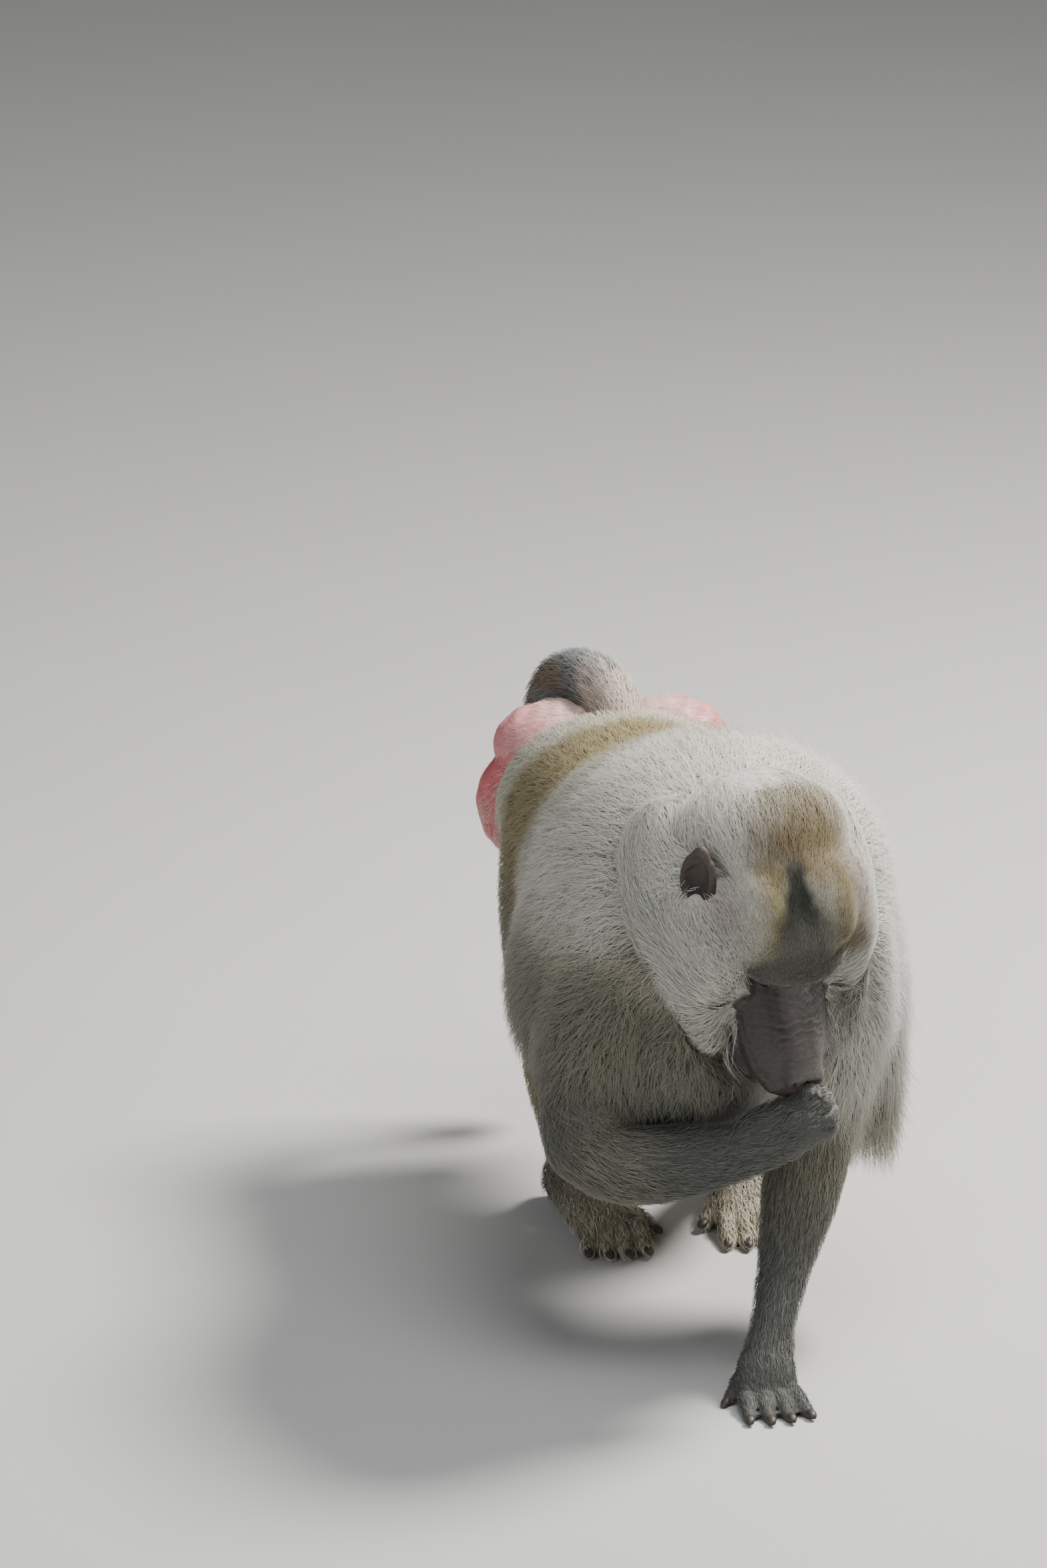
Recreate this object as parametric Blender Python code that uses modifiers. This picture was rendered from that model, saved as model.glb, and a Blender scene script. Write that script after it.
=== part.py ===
"""Hamadryas baboon, an adult male, life size, standing on three limbs with its right hand at its mouth.

The animal faces -Y and its left side is +X. Lengths are metres, and z = 0 is the floor.
"""

import math

import bmesh
import bpy
import numpy as np
from mathutils import Matrix, Vector
from mathutils.bvhtree import BVHTree

NAME = "hamadryas_baboon"

# The clear gap between two neighbouring sub-parts.
GAP = 0.0003

# The skin is first joined on a grid this fine, then reduced to the counts below.
GRID_BODY = 0.0042
GRID_HEAD = 0.0024
GRID_LIMB = 0.0024
FACES_BODY = 1900
FACES_HEAD = 1400
FACES_LIMB = 620
FACES_TAIL = 300

# How far a hand or foot is let into the floor before its sole is cut flat.
SINK = 0.0036

# Added to every place below at the end, so that the origin is under the middle of the whole.
SHIFT = Vector((-0.0095, -0.0475, 0.0))

# The head's place: the middle of the line between the ear holes, its turn and its size.
HEAD_AT = Vector((0.036, -0.248, 0.486))
HEAD_YAW = math.radians(16.0)
HEAD_PITCH = math.radians(63.0)
HEAD_ROLL = math.radians(0.0)
HEAD_SIZE = 1.08
EYE_RADIUS = 0.0105

# A lofted form is a list of stations: x, y, z, half width along `side`, half height across it.
TRUNK = [
    (0.018, -0.205, 0.420, 0.090, 0.110),
    (0.016, -0.175, 0.412, 0.122, 0.138),
    (0.012, -0.100, 0.410, 0.142, 0.145),
    (0.004, 0.000, 0.400, 0.142, 0.130),
    (-0.004, 0.100, 0.398, 0.136, 0.113),
    (-0.010, 0.200, 0.402, 0.132, 0.104),
    (-0.013, 0.275, 0.402, 0.128, 0.095),
    (-0.013, 0.320, 0.400, 0.108, 0.082),
]
MANE = [
    (0.028, -0.236, 0.478, 0.090, 0.075),
    (0.024, -0.205, 0.462, 0.128, 0.110),
    (0.014, -0.130, 0.438, 0.162, 0.146),
    (0.010, -0.030, 0.424, 0.164, 0.142),
    (0.005, 0.050, 0.411, 0.154, 0.125),
    (0.000, 0.120, 0.404, 0.141, 0.113),
    (-0.004, 0.175, 0.402, 0.126, 0.100),
]
NECK = [
    (0.034, -0.240, 0.495, 0.062, 0.064),
    (0.028, -0.200, 0.480, 0.090, 0.090),
    (0.020, -0.140, 0.450, 0.110, 0.110),
]
CHEST = [
    (-0.020, -0.200, 0.370, 0.060, 0.060),
    (-0.022, -0.184, 0.315, 0.088, 0.068),
    (-0.015, -0.140, 0.288, 0.092, 0.068),
    (-0.005, -0.070, 0.292, 0.080, 0.060),
]
CAPE = [
    (0.135, -0.120, 0.430, 0.040, 0.070),
    (0.156, -0.110, 0.340, 0.034, 0.078),
    (0.164, -0.115, 0.270, 0.022, 0.062),
    (0.166, -0.122, 0.215, 0.014, 0.042),
]
CAPE_RIGHT = [
    (-0.120, -0.100, 0.430, 0.040, 0.070),
    (-0.142, -0.090, 0.350, 0.034, 0.075),
    (-0.146, -0.080, 0.290, 0.022, 0.060),
]
THIGH_RIGHT = [
    (-0.080, 0.245, 0.405, 0.058, 0.085),
    (-0.098, 0.175, 0.345, 0.054, 0.082),
    (-0.108, 0.110, 0.282, 0.046, 0.058),
    (-0.108, 0.078, 0.240, 0.038, 0.040),
]
SHANK_RIGHT = [
    (-0.108, 0.075, 0.240, 0.035, 0.035),
    (-0.102, 0.118, 0.190, 0.036, 0.040),
    (-0.092, 0.160, 0.130, 0.029, 0.031),
    (-0.081, 0.198, 0.070, 0.022, 0.024),
    (-0.079, 0.208, 0.042, 0.022, 0.024),
]
THIGH_LEFT = [
    (0.056, 0.245, 0.405, 0.058, 0.085),
    (0.078, 0.180, 0.345, 0.054, 0.082),
    (0.096, 0.120, 0.282, 0.046, 0.058),
    (0.100, 0.088, 0.240, 0.039, 0.041),
]
SHANK_LEFT = [
    (0.100, 0.085, 0.240, 0.036, 0.036),
    (0.098, 0.128, 0.190, 0.037, 0.041),
    (0.092, 0.172, 0.130, 0.029, 0.031),
    (0.086, 0.208, 0.070, 0.022, 0.024),
    (0.085, 0.218, 0.042, 0.022, 0.024),
]
UPPER_ARM_LEFT = [
    (0.108, -0.195, 0.430, 0.050, 0.062),
    (0.116, -0.185, 0.350, 0.046, 0.056),
    (0.108, -0.168, 0.280, 0.042, 0.046),
    (0.102, -0.166, 0.245, 0.041, 0.043),
]
FOREARM_LEFT = [
    (0.102, -0.166, 0.250, 0.040, 0.042),
    (0.090, -0.182, 0.205, 0.041, 0.042),
    (0.077, -0.202, 0.160, 0.037, 0.036),
    (0.058, -0.232, 0.108, 0.027, 0.026),
    (0.043, -0.262, 0.068, 0.023, 0.021),
    (0.036, -0.278, 0.048, 0.025, 0.019),
]
UPPER_ARM_RIGHT = [
    (-0.078, -0.160, 0.420, 0.054, 0.062),
    (-0.108, -0.174, 0.345, 0.052, 0.060),
    (-0.126, -0.188, 0.272, 0.044, 0.048),
    (-0.127, -0.194, 0.232, 0.041, 0.042),
]
FOREARM_RIGHT = [
    (-0.126, -0.192, 0.230, 0.040, 0.040),
    (-0.102, -0.208, 0.218, 0.041, 0.040),
    (-0.062, -0.226, 0.218, 0.039, 0.037),
    (-0.002, -0.256, 0.236, 0.031, 0.030),
    (0.036, -0.280, 0.257, 0.025, 0.023),
    (0.050, -0.288, 0.267, 0.025, 0.021),
]
TAIL = [
    (-0.010, 0.292, 0.468, 0.026, 0.026),
    (-0.013, 0.322, 0.488, 0.028, 0.028),
    (-0.028, 0.352, 0.503, 0.030, 0.030),
    (-0.050, 0.384, 0.500, 0.027, 0.027),
    (-0.066, 0.412, 0.476, 0.021, 0.021),
    (-0.072, 0.430, 0.430, 0.018, 0.018),
    (-0.070, 0.438, 0.370, 0.016, 0.016),
    (-0.062, 0.438, 0.310, 0.015, 0.015),
    (-0.052, 0.434, 0.250, 0.016, 0.016),
    (-0.046, 0.430, 0.200, 0.018, 0.018),
    (-0.044, 0.428, 0.160, 0.010, 0.010),
]
FOOT_RIGHT = (-0.080, -0.050, 0.232, 0.060, 1)
FOOT_LEFT = (0.092, 0.090, 0.240, 0.068, -1)
HAND_RIGHT_ROOM = [
    (-0.072, -0.223, 0.217, 0.043, 0.042),
    (-0.002, -0.258, 0.236, 0.037, 0.036),
    (0.040, -0.288, 0.262, 0.036, 0.036),
    (0.066, -0.304, 0.288, 0.042, 0.036),
    (0.078, -0.312, 0.308, 0.040, 0.034),
]
# Swollen bare skin of the rump, for one side: centre from the middle plane, and radii.
RUMP_MIDDLE = -0.013
RUMP_LOBES = [
    ((0.058, 0.338, 0.444), (0.060, 0.044, 0.044)),
    ((0.094, 0.334, 0.386), (0.042, 0.048, 0.052)),
    ((0.060, 0.342, 0.336), (0.050, 0.044, 0.038)),
    ((0.036, 0.352, 0.385), (0.046, 0.034, 0.060)),
    ((0.040, 0.378, 0.352), (0.026, 0.016, 0.030)),
]
# The head's own frame has the face towards -Y and the crown up, before HEAD_SIZE and the turns.
SKULL_BALLS = [
    ((0.0, 0.012, 0.012), (0.058, 0.066, 0.056)),
    ((0.0, -0.030, 0.028), (0.048, 0.048, 0.036)),
    ((0.0, 0.045, -0.005), (0.058, 0.050, 0.056)),
    ((0.0, -0.020, -0.030), (0.044, 0.050, 0.040)),
    ((0.0, -0.042, 0.036), (0.040, 0.032, 0.022)),
    # Temples.
    ((0.031, -0.010, 0.034), (0.031, 0.046, 0.034)),
    ((-0.031, -0.010, 0.034), (0.031, 0.046, 0.034)),
    # The thick hair behind the crown and the whiskers, which fill the head's room.
    ((0.0, 0.052, 0.000), (0.082, 0.056, 0.070)),
    ((0.064, 0.018, -0.034), (0.048, 0.082, 0.058)),
    ((-0.064, 0.018, -0.034), (0.048, 0.082, 0.058)),
    ((0.0, -0.010, -0.080), (0.074, 0.084, 0.040)),
]
# The whisker mass of one side, from the temple to the corner of the mouth.
CHEEK = [
    (0.050, -0.004, 0.026, 0.030, 0.030),
    (0.058, -0.024, 0.004, 0.034, 0.042),
    (0.062, -0.034, -0.026, 0.036, 0.052),
    (0.056, -0.050, -0.052, 0.034, 0.050),
    (0.042, -0.078, -0.064, 0.026, 0.034),
    (0.029, -0.106, -0.066, 0.014, 0.018),
]
BROW = [
    (-0.040, -0.050, 0.024, 0.012, 0.011),
    (-0.024, -0.064, 0.033, 0.015, 0.011),
    (0.0, -0.069, 0.035, 0.015, 0.010),
    (0.024, -0.064, 0.033, 0.015, 0.011),
    (0.040, -0.050, 0.024, 0.012, 0.011),
]
CHEEK_BONE = [
    (0.044, -0.044, 0.012, 0.011, 0.011),
    (0.044, -0.056, -0.006, 0.013, 0.014),
    (0.036, -0.076, -0.018, 0.014, 0.015),
]
# The muzzle bends a little towards the animal's left, as the head is turned while it feeds.
MUZZLE = [
    (0.000, -0.040, -0.016, 0.041, 0.038),
    (0.001, -0.066, -0.018, 0.041, 0.036),
    (0.003, -0.092, -0.023, 0.040, 0.033),
    (0.006, -0.118, -0.029, 0.038, 0.029),
    (0.009, -0.136, -0.033, 0.035, 0.024),
    (0.010, -0.147, -0.035, 0.029, 0.018),
]
BRIDGE = [
    (0.000, -0.056, 0.018, 0.014, 0.016),
    (0.002, -0.082, 0.005, 0.0170, 0.015),
    (0.006, -0.111, -0.005, 0.0190, 0.013),
    (0.009, -0.136, -0.013, 0.0190, 0.012),
    (0.011, -0.148, -0.018, 0.0175, 0.011),
]
JAW = [
    (0.000, -0.015, -0.056, 0.038, 0.024),
    (0.002, -0.058, -0.064, 0.034, 0.020),
    (0.004, -0.092, -0.066, 0.031, 0.016),
    (0.007, -0.118, -0.066, 0.028, 0.013),
    (0.009, -0.134, -0.064, 0.023, 0.011),
]
# The middle between the nostrils, how far a nose wing and a nostril are from it, and their radii.
NOSE = (0.011, -0.153, -0.022)
WING_OUT = 0.0110
WING_RADII = (0.0085, 0.010, 0.0085)
NOSTRIL_OUT = 0.0085
NOSTRIL_AHEAD = 0.0095
NOSTRIL_RADII = (0.0042, 0.0060, 0.0024)
# The line of the mouth: its front, how far it runs back at the corners, and its half width.
MOUTH = (0.010, -0.154, -0.0500)
MOUTH_BACK = 0.072
MOUTH_WIDE = 0.033
EYE = (0.0225, -0.060, 0.0140)
EAR = (0.078, 0.026, 0.010)
EAR_FACES = (0.85, -0.36, 0.38)
EAR_LONG = (0.0, 0.74, 0.67)
EAR_RADII = (0.0180, 0.0080, 0.0255)
# The room that the head and its whiskers take, in the head's frame: centre and radii.
HEAD_ROOM = ((0.0, -0.046, -0.020), (0.100, 0.146, 0.093))

# Long hair lies in flat tapered locks. A row of the mane: its place along Y, the least and the
# most angle from the top of the back (right is negative), the number of locks, their length and
# width, and how far their tips stand off the core.
MANE_ROWS = [
    (-0.160, -116, 116, 15, 0.130, 0.046, 0.017),
    (-0.085, -112, 112, 15, 0.135, 0.046, 0.016),
    (-0.015, -100, 100, 14, 0.110, 0.046, 0.010),
]
MANE_AXIS_Z = 0.415
# The locks that ring the face: radii of the ring about the head's room, the most angle from the
# nape on each side, the number, and then as above.
COLLAR = (0.108, 0.150, 128, 14, 0.105, 0.042, 0.010)
# Hanging locks: a root's place, the way that it hangs, length, width and tip height.
FRINGE_LEFT = [
    ((0.155, -0.180, 0.300), (0.10, -0.10, -1.0), 0.150, 0.036, 0.012),
    ((0.160, -0.160, 0.280), (0.10, -0.02, -1.0), 0.150, 0.038, 0.014),
    ((0.165, -0.130, 0.300), (0.12, 0.00, -1.0), 0.165, 0.040, 0.014),
    ((0.168, -0.105, 0.280), (0.12, 0.05, -1.0), 0.150, 0.038, 0.014),
    ((0.165, -0.075, 0.300), (0.10, 0.05, -1.0), 0.140, 0.040, 0.014),
    ((0.160, -0.045, 0.320), (0.10, 0.10, -1.0), 0.125, 0.040, 0.012),
    ((0.150, -0.005, 0.330), (0.08, 0.20, -1.0), 0.110, 0.040, 0.010),
]
FRINGE_RIGHT = [
    ((-0.150, -0.110, 0.330), (-0.10, 0.05, -1.0), 0.110, 0.040, 0.010),
    ((-0.150, -0.070, 0.320), (-0.10, 0.10, -1.0), 0.110, 0.040, 0.010),
    ((-0.145, -0.030, 0.330), (-0.08, 0.15, -1.0), 0.105, 0.040, 0.010),
    ((-0.140, 0.005, 0.340), (-0.08, 0.20, -1.0), 0.090, 0.038, 0.008),
]
RUFF = [
    ((-0.075, -0.215, 0.330), (0.30, -0.10, -1.0), 0.090, 0.040, 0.014),
    ((-0.045, -0.228, 0.310), (0.15, -0.10, -1.0), 0.090, 0.040, 0.016),
    ((-0.010, -0.232, 0.300), (0.00, -0.10, -1.0), 0.085, 0.040, 0.016),
    ((0.025, -0.225, 0.300), (-0.05, -0.10, -1.0), 0.085, 0.040, 0.014),
    ((0.055, -0.215, 0.310), (-0.10, -0.10, -1.0), 0.090, 0.040, 0.012),
]
# Whiskers, on one side of the head and in its frame: a place beside the root, and the lie.
WHISKERS = [
    ((0.036, -0.100, -0.052), (0.60, 1.0, -0.30), 0.080, 0.030, 0.010),
    ((0.046, -0.078, -0.036), (0.90, 1.0, -0.10), 0.085, 0.032, 0.012),
    ((0.042, -0.080, -0.068), (0.70, 1.0, -0.45), 0.090, 0.034, 0.012),
    ((0.058, -0.052, -0.016), (1.00, 1.0, 0.00), 0.080, 0.034, 0.011),
    ((0.060, -0.048, -0.056), (0.85, 1.0, -0.30), 0.095, 0.036, 0.013),
    ((0.072, -0.022, -0.040), (0.95, 1.0, -0.20), 0.090, 0.038, 0.012),
]
# Locks of the crown and nape, in the head's frame: above the root, the lie, as before.
CROWN = [
    ((-0.044, 0.046, 0.20), (-0.60, 1.0, 0.05), 0.085, 0.038, 0.006),
    ((-0.014, 0.052, 0.20), (-0.15, 1.0, 0.05), 0.095, 0.038, 0.007),
    ((0.016, 0.052, 0.20), (0.20, 1.0, 0.05), 0.090, 0.038, 0.007),
    ((0.046, 0.046, 0.20), (0.60, 1.0, 0.05), 0.085, 0.038, 0.006),
]
# Locks of the tail's tuft: the root's height, the turn about the tail, and the length.
TUFT = [
    (0.225, 20, 0.085),
    (0.215, 140, 0.088),
    (0.220, 260, 0.085),
    (0.180, 80, 0.070),
    (0.176, 200, 0.072),
    (0.180, 320, 0.070),
]
SEED = 7

# Where limbs part: a point of the plane and its direction, away from the trunk.
ELBOW_LEFT = ((0.102, -0.166, 0.247), (0.10, 0.10, -1.0))
ELBOW_RIGHT = ((-0.128, -0.193, 0.232), (0.85, -0.40, -0.80))
WRIST_LEFT = ((0.043, -0.262, 0.068), (-0.25, -0.55, -0.80))
WRIST_RIGHT = ((0.038, -0.281, 0.258), (0.75, -0.45, 0.50))
KNEE_RIGHT = ((-0.108, 0.080, 0.236), (0.05, 0.10, -1.0))
KNEE_LEFT = ((0.100, 0.093, 0.236), (0.02, 0.10, -1.0))
ANKLE_Z = 0.060
WAIST_Y = 0.092
THIGH_FRONT_Y = 0.028
RUMP_Y = 0.312
THIGH_TOP_Z = 0.332
THIGH_IN_X = 0.046
ARM_TOP_Z = 0.318


def clear_scene():
    for obj in list(bpy.data.objects):
        bpy.data.objects.remove(obj, do_unlink=True)
    for mesh in list(bpy.data.meshes):
        bpy.data.meshes.remove(mesh)


def collection(name, hidden=False):
    made = bpy.data.collections.new(name)
    bpy.context.scene.collection.children.link(made)
    made.hide_render = hidden
    return made


def tidy_helpers(helpers):
    for obj in helpers.objects:
        obj.hide_render = True
        obj.display_type = "WIRE"


def material(name, colour, roughness):
    made = bpy.data.materials.new(name)
    made.use_nodes = True
    shader = made.node_tree.nodes["Principled BSDF"]
    shader.inputs["Base Color"].default_value = (*colour, 1.0)
    shader.inputs["Roughness"].default_value = roughness
    return made


def head_matrix():
    turn = Matrix.Rotation(HEAD_YAW, 4, "Z") @ Matrix.Rotation(HEAD_PITCH, 4, "X")
    turn = turn @ Matrix.Rotation(HEAD_ROLL, 4, "Y")
    return Matrix.Translation(HEAD_AT) @ turn @ Matrix.Scale(HEAD_SIZE, 4)


def smooth_path(stations, steps):
    """Stations in between by Catmull-Rom, so that a loft bends without corners."""
    rows = np.array(stations, dtype=float)
    padded = np.vstack([2 * rows[0] - rows[1], rows, 2 * rows[-1] - rows[-2]])
    out = []
    for i in range(1, len(padded) - 2):
        p0, p1, p2, p3 = padded[i - 1 : i + 3]
        for step in range(steps):
            t = step / steps
            out.append(
                0.5
                * (
                    2 * p1
                    + (p2 - p0) * t
                    + (2 * p0 - 5 * p1 + 4 * p2 - p3) * t * t
                    + (3 * p1 - p0 - 3 * p2 + p3) * t**3
                )
            )
    out.append(rows[-1])
    return np.array(out)


def with_round_ends(rows):
    """Rings that close each end like half a ball."""
    first = rows[0] - rows[1]
    last = rows[-1] - rows[-2]
    head_dir = first[:3] / np.linalg.norm(first[:3])
    tail_dir = last[:3] / np.linalg.norm(last[:3])
    out = []
    for along, scale in ((0.92, 0.40), (0.75, 0.66), (0.45, 0.89)):
        row = rows[0].copy()
        row[:3] += head_dir * along * min(rows[0][3], rows[0][4])
        row[3:] *= scale
        out.append(row)
    out.extend(rows)
    for along, scale in ((0.45, 0.89), (0.75, 0.66), (0.92, 0.40)):
        row = rows[-1].copy()
        row[:3] += tail_dir * along * min(rows[-1][3], rows[-1][4])
        row[3:] *= scale
        out.append(row)
    return np.array(out)


def add_loft(bm, stations, side=(1.0, 0.0, 0.0), matrix=None, sides=20, steps=4):
    rows = with_round_ends(smooth_path(stations, steps))
    centres = rows[:, :3]
    tangents = np.gradient(centres, axis=0)
    side = np.array(side, dtype=float)
    rings = []
    for centre, tangent, (width, height) in zip(centres, tangents, rows[:, 3:]):
        tangent = tangent / np.linalg.norm(tangent)
        across = side - tangent * (side @ tangent)
        across /= np.linalg.norm(across)
        other = np.cross(tangent, across)
        ring = []
        for k in range(sides):
            angle = 2 * math.pi * k / sides
            point = centre + across * (width * math.cos(angle)) + other * (height * math.sin(angle))
            place = Vector(point)
            ring.append(bm.verts.new(matrix @ place if matrix else place))
        rings.append(ring)
    for low, high in zip(rings, rings[1:]):
        for k in range(sides):
            bm.faces.new((low[k], low[(k + 1) % sides], high[(k + 1) % sides], high[k]))
    bm.faces.new(rings[0][::-1])
    bm.faces.new(rings[-1])


def add_ball(bm, centre, radii, matrix=None, turn=None):
    place = Matrix.Translation(Vector(centre))
    if turn is not None:
        place = place @ turn
    place = place @ Matrix.Diagonal((*radii, 1.0))
    if matrix:
        place = matrix @ place
    bmesh.ops.create_icosphere(bm, subdivisions=4, radius=1.0, matrix=place)


def grown(stations, grow):
    return [(x, y, z, wide + grow, high + grow) for x, y, z, wide, high in stations]


def mirrored(stations):
    return [(-x, *rest) for x, *rest in stations]


def new_object(name, bm, target, cleanup=True):
    if cleanup:
        bmesh.ops.recalc_face_normals(bm, faces=bm.faces)
    mesh = bpy.data.meshes.new(name)
    bm.to_mesh(mesh)
    bm.free()
    obj = bpy.data.objects.new(name, mesh)
    target.objects.link(obj)
    return obj


def apply_modifiers(obj):
    graph = bpy.context.evaluated_depsgraph_get()
    mesh = bpy.data.meshes.new_from_object(obj.evaluated_get(graph))
    obj.modifiers.clear()
    obj.data = mesh


def one_skin(name, bm, target, grid, faces, smooth=4):
    """The forms joined to one closed skin, smoothed and reduced."""
    obj = new_object(name, bm, target)
    remesh = obj.modifiers.new("join", "REMESH")
    remesh.mode = "VOXEL"
    remesh.voxel_size = grid
    remesh.adaptivity = 0.0
    ease = obj.modifiers.new("ease", "SMOOTH")
    ease.factor = 0.5
    ease.iterations = smooth
    apply_modifiers(obj)
    triangles = sum(len(p.vertices) - 2 for p in obj.data.polygons)
    reduce = obj.modifiers.new("reduce", "DECIMATE")
    reduce.ratio = min(1.0, faces / triangles)
    reduce.use_collapse_triangulate = True
    apply_modifiers(obj)
    return obj


def toe(bm, base, tip, lift, radius, matrix=None):
    """A finger or toe: it leaves its base, arches by `lift` and comes down on its tip."""
    base = np.array(base)
    tip = np.array(tip)
    rows = []
    for t, thick in ((0.0, 1.0), (0.35, 1.0), (0.6, 0.9), (0.85, 0.85), (1.0, 0.72)):
        point = base + (tip - base) * t
        point[2] += lift * math.sin(math.pi * min(1.0, t * 1.25)) * (1.0 - t)
        rows.append((*point, radius * thick, radius * thick * 0.92))
    add_loft(bm, rows, side=(1.0, 0.0, 0.0), matrix=matrix, sides=12, steps=3)


def add_foot(bm, ankle_x, toe_x, back, front, inward):
    """A flat foot from heel to toes, with the great toe standing off inwards."""
    middle = (ankle_x + toe_x) / 2
    long = back - front
    sole = [
        (ankle_x, back - 0.012, 0.026, 0.021, 0.024),
        (ankle_x * 0.8 + toe_x * 0.2, back - long * 0.25, 0.026, 0.024, 0.024),
        (middle, back - long * 0.5, 0.023, 0.029, 0.021),
        (toe_x * 0.8 + ankle_x * 0.2, front + long * 0.32, 0.018, 0.033, 0.017),
    ]
    add_loft(bm, sole, sides=18)
    root = front + long * 0.36
    for k, reach in zip((-1.5, -0.5, 0.5, 1.5), (0.85, 0.97, 1.0, 0.93)):
        spread = k if inward > 0 else -k
        start = (toe_x + spread * 0.0150, root, 0.017)
        end = (toe_x + spread * 0.0195, root - (root - front) * reach, 0.0085)
        toe(bm, start, end, 0.009, 0.0088)
    start = (toe_x + inward * 0.020, front + long * 0.55, 0.017)
    end = (toe_x + inward * 0.044, front + long * 0.32, 0.0095)
    toe(bm, start, end, 0.006, 0.0100)


def body_forms(bm):
    add_loft(bm, TRUNK, sides=40, steps=6)
    add_loft(bm, MANE, sides=40, steps=6)
    add_loft(bm, NECK, sides=32)
    add_loft(bm, CHEST, sides=32)
    add_loft(bm, CAPE)
    add_loft(bm, CAPE_RIGHT)
    for thigh in (THIGH_RIGHT, THIGH_LEFT):
        add_loft(bm, thigh, sides=24)
    add_loft(bm, UPPER_ARM_LEFT, sides=24)
    add_loft(bm, UPPER_ARM_RIGHT, sides=24)
    for side in (-1, 1):
        for (x, y, z), radii in RUMP_LOBES:
            add_ball(bm, (RUMP_MIDDLE + side * x, y, z), radii)


def hand_on_floor(bm):
    """The left hand: palm raised, fingers flat on the floor."""
    palm = [
        (0.036, -0.278, 0.048, 0.024, 0.018),
        (0.031, -0.292, 0.034, 0.029, 0.016),
        (0.029, -0.305, 0.020, 0.031, 0.0125),
    ]
    add_loft(bm, palm, sides=18)
    for k, reach in zip((-1.5, -0.5, 0.5, 1.5), (0.92, 1.0, 0.96, 0.84)):
        start = (0.030 + k * 0.0150, -0.304, 0.016)
        end = (0.034 + k * 0.0195, -0.304 - 0.050 * reach, 0.0066)
        toe(bm, start, end, 0.003, 0.0082)
    toe(bm, (0.010, -0.285, 0.026), (-0.008, -0.304, 0.0070), 0.002, 0.0080)


def hand_at_mouth(bm, grow=0.0):
    """The right hand: a loose fist whose fingertips and thumb meet below the lips."""
    palm = [
        (0.046, -0.285, 0.262, 0.023, 0.018),
        (0.062, -0.296, 0.272, 0.028, 0.017),
        (0.077, -0.304, 0.285, 0.030, 0.014),
    ]
    add_loft(bm, grown(palm, grow), side=(0.40, 0.88, 0.05), sides=18)
    for k, reach in zip((-1.5, -0.5, 0.5, 1.5), (0.90, 1.0, 0.97, 0.85)):
        base = np.array((0.078 + k * 0.004, -0.303 + k * 0.0135, 0.288))
        knuckle = base + np.array((0.009, -0.001, 0.014))
        middle = knuckle + np.array((-0.012, 0.002, 0.012))
        tip = middle + np.array((-0.013, 0.002, -0.008))
        rows = [
            (*base, 0.0086, 0.0086),
            (*knuckle, 0.0088, 0.0088),
            (*(knuckle + (middle - knuckle) * reach), 0.0080, 0.0080),
            (*(knuckle + (tip - knuckle) * reach), 0.0070, 0.0070),
        ]
        add_loft(bm, grown(rows, grow), side=(0.0, 1.0, 0.0), sides=12, steps=4)
    thumb = [
        (0.046, -0.296, 0.268, 0.0085, 0.0085),
        (0.044, -0.306, 0.280, 0.0085, 0.0085),
        (0.052, -0.312, 0.292, 0.0075, 0.0075),
    ]
    add_loft(bm, grown(thumb, grow), side=(0.0, 1.0, 0.0), sides=12, steps=4)


def head_forms(bm, matrix):
    for centre, radii in SKULL_BALLS:
        add_ball(bm, centre, radii, matrix)
    add_loft(bm, BROW, side=(0.0, 1.0, 0.0), matrix=matrix, sides=14)
    add_loft(bm, CHEEK_BONE, matrix=matrix, sides=14)
    add_loft(bm, mirrored(CHEEK_BONE), matrix=matrix, sides=14)
    add_loft(bm, CHEEK, matrix=matrix, sides=24)
    add_loft(bm, mirrored(CHEEK), matrix=matrix, sides=24)
    add_loft(bm, MUZZLE, matrix=matrix)
    add_loft(bm, BRIDGE, matrix=matrix)
    add_loft(bm, JAW, matrix=matrix)
    for side in (-1, 1):
        add_ball(bm, (side * EYE[0], EYE[1], EYE[2]), (0.0132, 0.0132, 0.0132), matrix)
        # The wing of the nose, and the cheek.
        add_ball(bm, (NOSE[0] + side * WING_OUT, NOSE[1], NOSE[2]), WING_RADII, matrix)
        add_ball(bm, (side * 0.028, -0.060, -0.040), (0.020, 0.040, 0.030), matrix)


def ball_object(name, centre, radii, target, matrix=None, turn=None, level=3, grow=0.0):
    bm = bmesh.new()
    place = Matrix.Translation(Vector(centre))
    if turn is not None:
        place = place @ turn
    size = [radius + grow for radius in radii]
    place = place @ Matrix.Diagonal((*size, 1.0))
    if matrix:
        place = matrix @ place
    bmesh.ops.create_icosphere(bm, subdivisions=level, radius=1.0, matrix=place)
    return new_object(name, bm, target)


def box_object(name, low, high, target, matrix=None):
    bm = bmesh.new()
    low = Vector(low)
    high = Vector(high)
    size = high - low
    place = Matrix.Translation((low + high) / 2) @ Matrix.Diagonal((*size, 1.0))
    if matrix:
        place = matrix @ place
    bmesh.ops.create_cube(bm, size=1.0, matrix=place)
    return new_object(name, bm, target)


def plane_frame(point, direction):
    """A frame with its origin at the point and +Z along the direction."""
    turn = Vector(direction).normalized().to_track_quat("Z", "Y").to_matrix().to_4x4()
    return Matrix.Translation(Vector(point)) @ turn


def boolean(obj, other, operation, solver="EXACT"):
    step = obj.modifiers.new("step", "BOOLEAN")
    step.operation = operation
    step.object = other
    step.solver = solver
    apply_modifiers(obj)


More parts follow.
